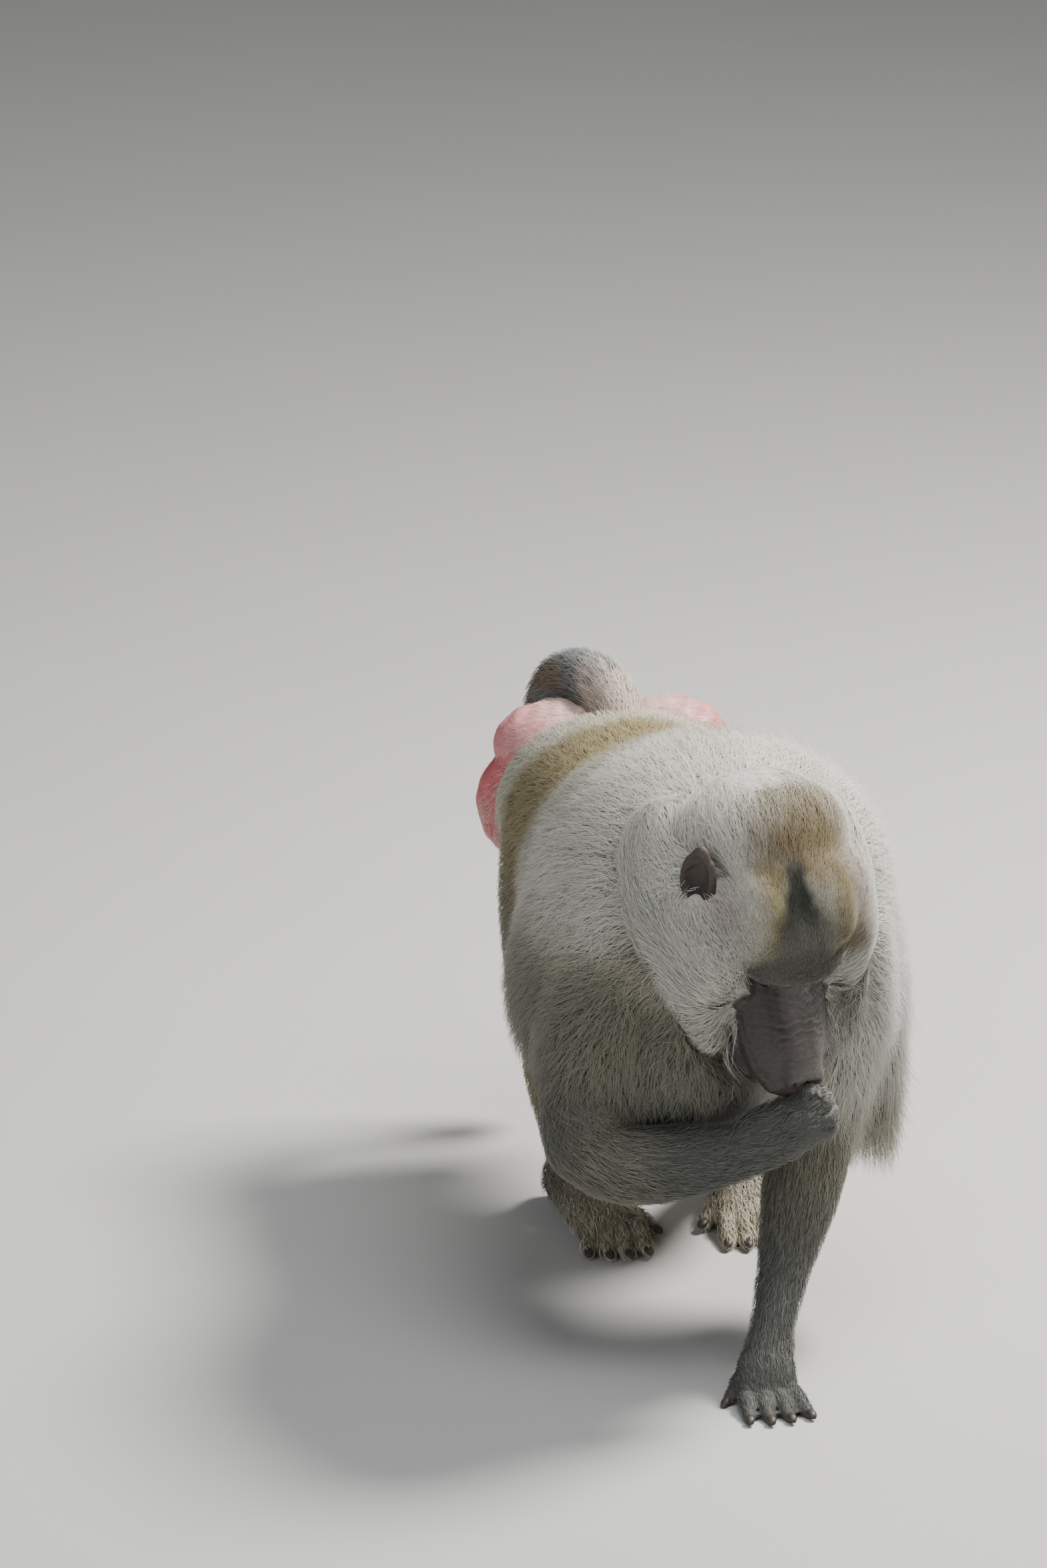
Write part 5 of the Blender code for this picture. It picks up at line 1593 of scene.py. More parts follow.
            crease = y - at + bow * side - 0.0012 * np.sin(x * 420.0 + at * 900.0)
            depth -= deep * bell((crease, 0.0, 0.0011)) * bridge
            depth += 0.4 * deep * bell((crease, 0.0026, 0.0020)) * bridge
        flank = smooth(side, 0.018, 0.026) * (1.0 - smooth(y, -0.085, -0.070))
        flank = flank * smooth(z, -0.048, -0.036)
        furrow = z - 0.18 * (y + 0.12) + 0.020
        for at in (-0.013, -0.003, 0.007):
            depth -= 0.0005 * bell((furrow - at, 0.0, 0.0020)) * flank
            depth += 0.0003 * bell((furrow - at, 0.0048, 0.0028)) * flank
        depth -= 0.0013 * (bell((middle, 0.0, 0.0012)) * (1.0 - smooth(y, -0.158, -0.152)))
        crest = bell((np.abs(x), 0.031, 0.013), (y, -0.016, 0.028)) * np.where(x < 0, 1.0, 0.3)
        valley = bell((x, 0.002, 0.010)) * smooth(y, -0.052, -0.030) * (1.0 - smooth(y, 0.010, 0.035))
        depth += (0.0042 * crest - 0.0030 * valley) * smooth(z, 0.020, 0.040)
        for sign in (-1, 1):
            eye = local - np.array(self.eye_at(sign))
            far = np.linalg.norm(eye, axis=1)
            depth -= 0.0009 * (bell((far, 0.0165, 0.0016)) * (eye[:, 2] < -0.001) * bare)
        depth += 0.0003 * mottle(local, 0.006, 11) * bare
        skin.push(depth)
        self.dent_ears(skin)

    def ear_frame(self, sign: int) -> tuple[Vector, Vector, Matrix]:
        """An ear's centre, the way that its cup faces, and its turn."""
        face = Vector((self.ear_faces[0] * sign, *self.ear_faces[1:])).normalized()
        long = Vector(self.ear_long)
        long = (long - face * long.dot(face)).normalized()
        turn = Matrix((face.cross(long), face, long)).transposed().to_4x4()
        return Vector(self.ear_right if sign < 0 else self.ear_left), face, turn

    def dent_ears(self, skin: Surface) -> None:
        """Lets the skin in around each ear, so that the cup stands free of the whiskers."""
        for sign in (-1, 1):
            centre, face, _ = self.ear_frame(sign)
            local = HEAD.inward(skin.points)
            far = np.linalg.norm(local - np.array(centre - face * 0.004), axis=1)
            ahead = smooth((local - np.array(centre)) @ np.array(face), -0.020, 0.002)
            way = HEAD.turned(np.array([face]))[0] * HEAD.size
            depth = (0.021 if sign < 0 else 0.006) * (1.0 - smooth(far, 0.016, 0.042)) * ahead
            skin.move(-way * depth[:, None])

    def open_eye(self, obj: Piece, sign: int) -> None:
        """Cuts the eye's hollow and the slit between its lids."""
        hollow = Forms(HEAD.matrix)
        hollow.ball(self.eye_at(sign), (self.eye_radius + 0.0003,) * 3)
        hollow.cut_from(obj)
        slit = Forms(HEAD.matrix)
        place = self.eye_at(sign) + Vector((sign * 0.0015, -0.0100, -0.0022))
        slit.ball(place, (0.0086, 0.0090, 0.0030), Matrix.Rotation(sign * 0.16, 4, "Y"))
        slit.cut_from(obj)

    def build_eyes(self) -> None:
        """Makes both eyes: a ball with a bulging cornea, an amber iris and a round pupil."""
        for sign, name in ((-1, "eye_right"), (1, "eye_left")):
            centre = self.eye_at(sign)
            bm = bmesh.new()
            place = HEAD.matrix @ Matrix.Translation(centre) @ Matrix.Scale(self.eye_radius, 4)
            bmesh.ops.create_icosphere(bm, subdivisions=5, radius=1.0, matrix=place)
            ball = Surface(new_piece(name + "_ball", bm))
            local = (HEAD.inward(ball.points) - np.array(centre)) / self.eye_radius
            gaze = unit(np.array((0.0, -1.0, -0.22)))
            angle = np.degrees(np.arccos(np.clip(local @ gaze, -1.0, 1.0)))
            ball.push(0.0007 * (1.0 - smooth(angle, 8.0, 36.0)) - 0.0004)
            spokes = np.sin(np.arctan2(local[:, 0], local[:, 2] + 1e-6) * 34.0) * 0.5 + 0.5
            colour = mix(Shade.IRIS_DARK.rgb, Shade.IRIS.rgb, 0.6 * spokes)
            colour = mix(Shade.PUPIL.rgb, colour, smooth(angle, 10.0, 12.0))
            colour = mix(colour, Shade.IRIS_RIM.rgb, smooth(angle, 27.0, 31.0))
            ball.paint(mix(colour, Shade.EYEBALL.rgb, smooth(angle, 36.0, 52.0)))
            gloss = Gloss("eye_gloss", 0.12, 1.0, 900.0, 0.00002)
            self.dresser.wear(ball.obj, gloss, "eye_amber", name)

    def build_ears(self) -> list[Surface]:
        """Makes both cupped ears, with a rolled rim and an inner fold."""
        ears = []
        for sign, name in ((-1, "ear_right"), (1, "ear_left")):
            centre, face, turn = self.ear_frame(sign)
            long = turn.to_3x3() @ Vector((0.0, 0.0, 1.0))
            shell = Forms(HEAD.matrix)
            shell.ball(centre, self.ear_radii, turn)
            shell.ball(centre + long * 0.014 + face * 0.001, (0.0105, 0.0075, 0.0210), turn)
            obj = shell.skin(name + "_skin", self.ear_voxel, 2)
            cup = Forms(HEAD.matrix)
            cup.ball(centre + face * 0.0092 + long * 0.003, (0.0142, 0.0108, 0.0255), turn)
            cup.cut_from(obj)
            remesh(obj, self.ear_voxel, 3)
            ear = Surface(obj)
            frame_in = np.array((Matrix.Translation(centre) @ turn).inverted())
            local = HEAD.inward(ear.points) @ frame_in[:3, :3].T + frame_in[:3, 3]
            u = local[:, 0] / self.ear_radii[0] * -sign
            w = local[:, 2] / self.ear_radii[2]
            ring = np.hypot(u, w)
            inner = smooth(local[:, 1], -0.0035, 0.0015) * (1.0 - smooth(ring, 0.80, 0.95))
            fold = bell((ring - 0.60 - 0.10 * u, 0.0, 0.09)) * smooth(w, -0.2, 0.5)
            fold = fold * smooth(u, -0.3, 0.4)
            knob = bell((u, 0.45, 0.22), (w, -0.45, 0.25))
            ear.push((0.0016 * fold + 0.0022 * knob) * inner + 0.0003 * mottle(local, 0.007, 12))
            # The cup is painted darker towards its deepest part: painted shade in the hollow.
            pit = np.clip(inner * (0.25 + 0.75 * bell((u, 0.15, 0.38), (w, -0.15, 0.42))), 0.0, 1.0)
            shade = mix(Shade.EAR.rgb * 0.75, Shade.FACE_DEEP.rgb * 0.7, pit)
            ear.paint(shade * (1.0 + 0.08 * mottle(local, 0.010, 13)[:, None]))
            ears.append(ear)
        return ears

    @staticmethod
    def density(points: Array, normals: Array) -> Array:
        """Share of hair on the head."""
        local = HEAD.inward(points)
        _, y, z = local.T
        patch = Markings.temple_patch(local, (0.066, -0.004, 0.036), (0.012, 0.022, 0.018))
        thin = 1.0 - 0.75 * np.clip(1.3 * patch, 0.0, 1.0)
        behind = smooth(y, 0.05, 0.085) * 0.3
        under = smooth(-normals[:, 2], 0.3, 0.9) * 0.4
        front = 1.0 + 0.9 * (1.0 - smooth(y, -0.02, 0.03)) * smooth(z, 0.0, 0.03)
        cup = np.linalg.norm(local - np.array((-0.077, 0.022, 0.034)), axis=1)
        front = front * smooth(cup, 0.022, 0.030)
        return (1.0 - Markings.bare_face(local)) ** 2 * thin * (1.0 - behind) * (1.0 - under) * front

    @staticmethod
    def lie(points: Array, normals: Array) -> Array:
        """The coat runs from the nose over brow and crown, and back over the cheeks."""
        local = HEAD.inward(points)
        x, y, z = local.T
        back = unit(local - np.array((0.0, -0.135, -0.030))) + np.array((0.0, 0.55, 0.0))
        side = np.sign(x) * smooth(np.abs(x), 0.02, 0.05)
        back[:, 0] += side * 0.25
        left = smooth(x, 0.02, 0.04)
        hung = columns(side * (0.75 - 0.45 * left), -0.45 - 0.45 * left, -0.35 + 0.10 * left)
        low = smooth(-z, -0.010, 0.045) * smooth(-y, -0.02, 0.06)
        return HEAD.turned(mix(unit(back), unit(hung), low))

    @staticmethod
    def cut(points: Array) -> Cut:
        """Short on brow and forehead, longer on crown and temples, long on the cheeks."""
        local = HEAD.inward(points)
        x, y, z = local.T
        side = np.abs(x)
        top = smooth(z, 0.010, 0.030)
        front = 1.0 - smooth(y, -0.03, 0.03)
        length = 0.036 + 0.012 * smooth(y, -0.04, 0.04)
        length = length * (1.0 - top) + top * (0.012 + 0.036 * smooth(y, -0.01, 0.07))
        temple = top * front * smooth(side, 0.030, 0.048)
        length = length + 0.006 * temple
        left = 0.018 * smooth(x, 0.03, 0.05)
        length = length + left * smooth(-z, 0.02, 0.05) * smooth(-y, 0.02, 0.06)
        length = length + 0.014 * smooth(-y, 0.045, 0.085) * smooth(-z, 0.03, 0.05)
        brow = smooth(-y, 0.050, 0.062) * smooth(z, 0.018, 0.028)
        length = length * (1.0 - 0.35 * brow)
        edge = Markings.bare_face(local + np.array((0.0, -0.010, 0.0)))
        length = length * (1.0 - 0.40 * edge * (1.0 - top) * (1.0 - smooth(-z, 0.01, 0.05)))
        lift = 0.0028 + 0.14 * (length - 0.010) + 0.0025 * temple
        lift = lift + 0.005 * smooth(-z, 0.0, 0.05) * smooth(y, -0.02, 0.04)
        width = 0.00060 + 0.0075 * length
        return Cut(length, width, lift, 4, 0.0006 + 0.022 * length, 0.016, 0.12, 0.30, 0.35, 6)

    @staticmethod
    def pile(points: Array) -> Array:
        """Share of the short dense pile on brow and forehead."""
        x, y, z = HEAD.inward(points).T
        share = smooth(z, 0.010, 0.026) * (1.0 - smooth(y, -0.005, 0.050))
        return share * (1.0 - smooth(np.abs(x), 0.046, 0.064))

    @classmethod
    def pile_cut(cls, points: Array) -> Cut:
        """The short pile's cut: like the rest, with fewer knots and finer."""
        base = cls.cut(points)
        length, lift = base.length * 0.85, base.lift * 0.9
        return Cut(length, 0.00050, lift, 3, 0.0006, 0.012, 0.10, 0.30, 0.30, 5)

    @classmethod
    def pile_density(cls, points: Array, normals: Array) -> Array:
        """Share of the short pile's hairs."""
        return cls.density(points, normals) * cls.pile(points)

    @classmethod
    def long_density(cls, points: Array, normals: Array) -> Array:
        """Share of the longer hairs, few of them in the pile."""
        return cls.density(points, normals) * (1.0 - 0.93 * cls.pile(points))

    @staticmethod
    def tint(points: Array, shares: Array, random: Random) -> Array:
        """Colours along the head's hairs."""
        root, tip = Markings.head(points)
        # The roots are darkened further: painted shade deep in the coat.
        return speckle(along(root * 0.8, tip, shares, 0.7), random, 0.13)

    @staticmethod
    def unwrap(points: Array) -> Array:
        """Around the head's long axis, and along it."""
        x, y, z = HEAD.inward(points).T
        return chart(x, z + 0.02, (y + 0.19) / 0.32, 0.96)

    def dress(self, skin: Surface, body: Surface) -> None:
        """Gives the head its colours, coat, ears and eyes.

        Args:
            skin: the head's skin.
            body: the trunk's skin, below which no hair is rooted.
        """
        local = HEAD.inward(skin.points)
        inward = local * np.array((0.90, 1.0, 1.0)) - np.array((0.0, 0.004, 0.0))
        bare = np.maximum(Markings.bare_face(local), Markings.bare_face(inward))
        coat = mix(*Markings.head(skin.points), 0.8)
        skin.paint(mix(coat, Markings.face(local), bare))
        hair = Coat(skin, SEED + 1, [body], Trunk.axis)
        rest = (self.tint, self.unwrap)
        covered = hair.grow("head_coat", 20000, self.long_density, self.lie, self.cut, *rest)
        covered += hair.grow("brow_coat", 24000, self.pile_density, self.lie, self.pile_cut, *rest)
        ears = self.build_ears()
        self.build_eyes()
        fur = Hair("head_hair")
        self.dresser.wear(skin.obj, BareSkin("face_hide", coat=0.10), "head_skin", "head")
        for piece in covered:
            self.dresser.wear(piece, fur, "silver_mane")
        hide = BareSkin("ear_hide", 0.6, 1100.0, 400.0, 0.0004)
        for ear, node in zip(ears, ("ear_right", "ear_left")):
            self.dresser.wear(ear.obj, hide, "ear_skin", node)


@dataclass
class Trunk:
    """Trunk, mane, cape, thighs, upper arms and rump: one skin and its coat."""

    dresser: Dresser
    voxel: float = 0.0054
    axis: ClassVar[tuple[Triple, Triple]] = ((0.034, -0.235, 0.470), (-0.013, 0.300, 0.400))
    # The mane's front, which meets the head's coat all round.
    ruff: Rows = mm(
        (24, -207, 487, 110, 94), (18, -192, 478, 121, 103), (9, -160, 453, 146, 127),
        (10, -115, 440, 158, 141),
    )
    head_room: tuple[Triple, Triple] = ((0.0, -0.072, -0.015), (0.088, 0.138, 0.100))
    # A ball that fills the fold between the chest and the right forearm.
    elbow: tuple[Triple, Triple] = ((-0.078, -0.190, 0.266), (0.042, 0.032, 0.036))
    # The middle that the mane's hair radiates from.
    face: ClassVar[Triple] = (0.036, -0.308, 0.466)

    def build_skin(self) -> Surface:
        """Makes the trunk's skin, let in below its coat."""
        forms = Forms()
        forms.loft(BUILD.trunk, sides=48, steps=6)
        forms.loft(BUILD.mane, sides=48, steps=6)
        forms.loft(BUILD.neck, sides=32)
        forms.loft(BUILD.chest, sides=32)
        for name in ("cape", "thigh", "upper_arm"):
            for side in ("left", "right"):
                forms.loft(getattr(BUILD, f"{name}_{side}"), sides=28)
        Rump.add_lobes(forms)
        forms.ball(*self.elbow)
        forms.loft(self.ruff, sides=36)
        obj = forms.skin("trunk_skin", self.voxel, 12)
        skin = Surface(obj)
        y, z = skin.points[:, 1], skin.points[:, 2]
        bare = Markings.bare_rump(skin.points)
        mane = (1.0 - smooth(y, 0.00, 0.08)) * smooth(z, 0.30, 0.36)
        skin.push(-(0.0045 * (1.0 - mane) + 0.0025 * mane) * (1.0 - bare))
        room = Forms(HEAD.matrix)
        room.ball(*self.head_room)
        room.cut_from(obj)
        drop_crumbs(obj)
        skin.read()
        return skin

    @staticmethod
    def mane_share(points: Array) -> Array:
        """One in the mane, zero where the coat is short."""
        x, y, z = points.T
        line = -0.02 + 0.02 * mottle(points, 0.08, 3)
        share = 1.0 - smooth(y - line, -0.03, 0.06)
        low = 0.30 * (1.0 - smooth(x, -0.05, 0.08)) + 0.20 * smooth(x, -0.05, 0.08)
        return share * smooth(z - low, -0.02, 0.05)

    @classmethod
    def lie(cls, points: Array, normals: Array) -> Array:
        """Radial from the face over the mane, back over the rump and down the limbs."""
        y, z = points[:, 1], points[:, 2]
        steep = np.abs(normals[:, 0])
        radial = unit(points - np.array(cls.face)) + columns(0.0, 0.25, -0.25 - 0.35 * steep)
        back = columns(0.0, 1.0, -0.15 - 0.9 * steep)
        way = mix(unit(radial), unit(back), smooth(y, -0.06, 0.06))
        down = np.array((0.0, 0.05, -1.0))
        low = 1.0 - smooth(z, 0.30, 0.40)
        way = mix(way, down, low * (1.0 - smooth(y, -0.10, 0.0)))
        for name, power in (("thigh_right", 1.0), ("thigh_left", 1.0), ("upper_arm_right", 0.8)):
            far, direction, _, _ = Markings.spines[name].nearest(points)
            share = bell((far, 0.0, 0.06)) * power * (1.0 - smooth(z, 0.30, 0.40))
            way = way + direction * share[:, None] * 1.5
        return unit(way)

    @staticmethod
    def tint(points: Array, shares: Array, random: Random) -> Array:
        """Colours along the trunk's hairs, with pale bands in the agouti."""
        root, tip = Markings.body(points)
        # The roots are darkened further: painted shade deep in the coat.
        return speckle(along(root * 0.9, tip, shares, 0.8), random, 0.13)

    @staticmethod
    def unwrap(points: Array) -> Array:
        """Around the trunk, and along it."""
        x, y, z = points.T
        return chart(x, z - 0.36, (y + 0.27) / 0.68, 0.96)

    @classmethod
    def mane_density(cls, points: Array, normals: Array) -> Array:
        """Share of the mane's hairs."""
        return cls.mane_share(points) * (1.0 - 0.6 * smooth(-normals[:, 2], 0.2, 0.8))

    @classmethod
    def mane_cut(cls, points: Array) -> Cut:
        """Long, and longest over the left shoulder, where it hangs free."""
        x, y, z = points.T
        far = np.linalg.norm(points - np.array(cls.face), axis=1)
        length = 0.034 + 0.014 * smooth(far, 0.12, 0.22) - 0.012 * smooth(y, -0.06, 0.02)
        length = length + 0.020 * smooth(x, 0.10, 0.14) * (1.0 - smooth(z, 0.30, 0.36))
        length = length * (1.0 - 0.35 * (1.0 - smooth(z, 0.38, 0.45)) * (1.0 - smooth(x, 0.0, 0.08)))
        lift = 0.010 + 0.006 * smooth(far, 0.10, 0.18) - 0.008 * smooth(y, -0.06, 0.03)
        hang = np.where((z < 0.33) & (x > 0.10), 0.35, 2.0)
        return Cut(length, 0.00090, lift, 4, 0.0026, 0.017, 0.20, 0.42, 0.35, 7, hang)

    @classmethod
    def short_density(cls, points: Array, normals: Array) -> Array:
        """Share of the short coat behind the mane."""
        under = 1.0 - 0.5 * smooth(-normals[:, 2], 0.3, 0.9)
        coated = (1.0 - Markings.bare_rump(points)) ** 3
        return (1.0 - cls.mane_share(points) ** 2) * coated * under

    @staticmethod
    def short_cut(points: Array) -> Cut:
        """Short, and shortest around the swelling."""
        y, z = points[:, 1], points[:, 2]
        length = 0.019 + 0.006 * smooth(-z, -0.40, -0.30) + 0.004 * (1.0 - smooth(y, -0.05, 0.08))
        reach, _ = Markings.lobe_reach(points)
        length = length * (1.0 - 0.5 * (1.0 - smooth(reach, 1.10, 1.35)) * smooth(y, 0.27, 0.29))
        return Cut(length, 0.00095, 0.0036 + 0.08 * length, 4, 0.0015, 0.014, 0.20, 0.30, 0.30, 6)

    @classmethod
    def wisp_density(cls, points: Array, normals: Array) -> Array:
        """Share of the stray curls, on the mane's upper side."""
        return cls.mane_share(points) * smooth(normals[:, 2], -0.5, 0.2)

    @staticmethod
    def wisp_cut(points: Array) -> Cut:
        """Long, thin and curled, standing off the mane."""
        out = 0.015 + 0.008 * smooth(points[:, 0], 0.02, 0.12)
        return Cut(0.050, 0.00060, out, 7, 0.0055, 0.021, 0.05, 0.75, 0.0, 1, 2.0, 0.55)

    @staticmethod
    def wisp_tint(points: Array, shares: Array, random: Random) -> Array:
        """Colours along the stray curls, nearly even."""
        _, tip = Markings.body(points)
        # The roots a little darker than the tips: painted shade deep in the coat.
        return speckle(along(tip * 0.95, tip * 1.15, shares), random, 0.10)

    def dress(self, skin: Surface, head: Surface, rump: Surface) -> None:
        """Gives the trunk its colours and its coat.

        Args:
            skin: the trunk's skin.
            head: the head's skin, below which no hair is rooted.
            rump: the swollen skin, below which none is rooted either.
        """
        coat = mix(*Markings.body(skin.points), 0.75)
        skin.paint(mix(coat, Markings.rump(skin.points), Markings.bare_rump(skin.points)))
        hair = Coat(skin, SEED + 2, [head, rump], self.axis)
        rest = (self.tint, self.unwrap)
        mane = hair.grow("mane_coat", 42000, self.mane_density, self.lie, self.mane_cut, *rest)
        short = hair.grow("body_coat", 27000, self.short_density, self.lie, self.short_cut, *rest)
        rest = (self.wisp_cut, self.wisp_tint, self.unwrap)
        wisps = hair.grow("mane_wisps", 2400, self.wisp_density, self.lie, *rest)
        nodes = ("mane", "torso", "thigh_left", "thigh_right", "upper_arm_left", "upper_arm_right")
        self.dresser.wear(skin.obj, Underfur("trunk_underfur"), "olive_fur", *nodes)
        for piece in mane + wisps:
            self.dresser.wear(piece, Hair("mane_hair", 0.55, 0.35, 0.16, 0.35), "silver_mane")
        for piece in short:
            self.dresser.wear(piece, Hair("body_hair"), "olive_fur")


@dataclass
class Rump:
    """The swollen bare skin of the rump, finer than the trunk's."""

    dresser: Dresser
    voxel: float = 0.0030

    @staticmethod
    def add_lobes(forms: Forms) -> None:
        """Adds the lobes of both sides."""
        for sign in (-1, 1):
            for row in BUILD.lobes:
                forms.ball((BUILD.rump_middle + sign * row[0], row[1], row[2]), row[3:])

    def build_skin(self) -> Surface:
        """Makes the lobed swelling with its creases and pads."""
        forms = Forms()
        self.add_lobes(forms)
        skin = Surface(forms.skin("swelling_skin", self.voxel, 3))
        fold = mottle(skin.points * np.array((1.0, 1.0, 0.6)), 0.026, 14)
        fine = mottle(skin.points * np.array((1.0, 1.0, 0.5)), 0.008, 15)
        skin.push(0.0006 + 0.0015 * fold - 0.0007 * np.abs(fine))
        return skin

    @staticmethod
    def density(points: Array, normals: Array) -> Array:
        """Hairs at the tail's root, at the front edge and low down."""
        near = np.linalg.norm(points - np.array((-0.013, 0.325, 0.480)), axis=1)
        edge = (1.0 - smooth(points[:, 1], 0.308, 0.322)) * 0.8
        low = (1.0 - smooth(points[:, 2], 0.30, 0.35)) * 0.5
        return np.maximum(np.maximum(0.9 * (1.0 - smooth(near, 0.035, 0.085)), edge), low)

    @staticmethod
    def lie(points: Array, normals: Array) -> Array:
        """Outward, back and down."""
        return columns(0.5 * np.sign(points[:, 0] - BUILD.rump_middle), 0.6, -0.7)

    @staticmethod
    def cut(points: Array) -> Cut:
        """Short and thin."""
        return Cut(0.013, 0.0006, 0.0020, 4, 0.0010, 0.014, 0.2, 0.35, 0.0, 1)

    @staticmethod
    def tint(points: Array, shares: Array, random: Random) -> Array:
        """Pale, and ochre low down."""
        low = 1.0 - smooth(points[:, 2], 0.31, 0.36)
        tip = mix(Shade.RING.rgb * 1.1, Shade.OCHRE.rgb, low)
        # The roots a little darker: painted shade deep in the coat.
        return speckle(along(tip * 0.9, tip, shares), random, 0.12)

    def dress(self, skin: Surface) -> None:
        """Gives the swelling its colours and its short pale hairs."""
        skin.paint(Markings.rump(skin.points))
        hair = Coat(skin, SEED + 7)
        rest = (self.density, self.lie, self.cut, self.tint, Trunk.unwrap)
        strays = hair.grow("swelling_hair", 2600, *rest)
        skin_finish = BareSkin("swelling_hide", 0.50, 700.0, 200.0, 0.0008, 0.12, 0.08)
        self.dresser.wear(skin.obj, skin_finish, "swelling_skin", "swelling_left", "swelling_right")
        for piece in strays:
            self.dresser.wear(piece, Hair("rump_hair"), "silver_mane")


@dataclass
class Tail:
    """The arched tail, hung down, with a thin tuft."""

    dresser: Dresser
    voxel: float = 0.0034
    # Where the tuft starts, as a length along the tail.
    tuft: ClassVar[tuple[float, float]] = (0.33, 0.40)
    spine: ClassVar[Spine] = Markings.spines["tail"]

    @classmethod
    def density(cls, points: Array, normals: Array) -> Array:
        """Denser at the tuft."""
        return 1.0 + 1.5 * smooth(cls.spine.nearest(points)[2], 0.33, 0.38)

    @classmethod
    def lie(cls, points: Array, normals: Array) -> Array:
        """Along the tail."""
        return cls.spine.nearest(points)[1]

    @classmethod
    def cut(cls, points: Array) -> Cut:
        """Short, longer at the root and longest at the tuft."""
        run = cls.spine.nearest(points)[2]
        end = smooth(run, *cls.tuft)
        length = 0.016 + 0.006 * (1.0 - smooth(run, 0.05, 0.09)) + 0.040 * end
        return Cut(length, 0.0010, 0.0036 + 0.004 * end, 4, 0.0012, 0.016, 0.1, 0.24, 0.25, 6, 0.45)

    @staticmethod
    def tint(points: Array, shares: Array, random: Random) -> Array:
        """Colours along the tail's hairs."""
        root, tip = Markings.tail(points)
        # The roots are darkened further: painted shade deep in the coat.
        return speckle(along(root * 0.85, tip, shares, 0.8), random, 0.15)

    @classmethod
    def unwrap(cls, points: Array) -> Array:
        """Around the tail, and along it."""
        _, _, run, offset = cls.spine.nearest(points)
        return chart(offset[:, 0], offset[:, 1] + 0.3 * offset[:, 2], run / 0.5, 0.9)

    def build(self) -> None:
        """Makes the tail's skin and coat."""
        forms = Forms()
        forms.loft(BUILD.tail, sides=24, steps=6)
        obj = forms.skin("tail_skin", self.voxel, 3)
        skin = Surface(obj)
        skin.push(np.full(len(skin.points), -0.0035))
        skin.paint(mix(*Markings.tail(skin.points), 0.35) * 0.8)
        rest = (self.density, self.lie, self.cut, self.tint, self.unwrap)
        pieces = Coat(skin, SEED + 3).grow("tail_coat", 5200, *rest)
        self.dresser.wear(obj, Underfur("tail_underfur"), "tail_fur", "tail")
        for piece in pieces:
            self.dresser.wear(piece, Hair("tail_hair"), "tail_fur")


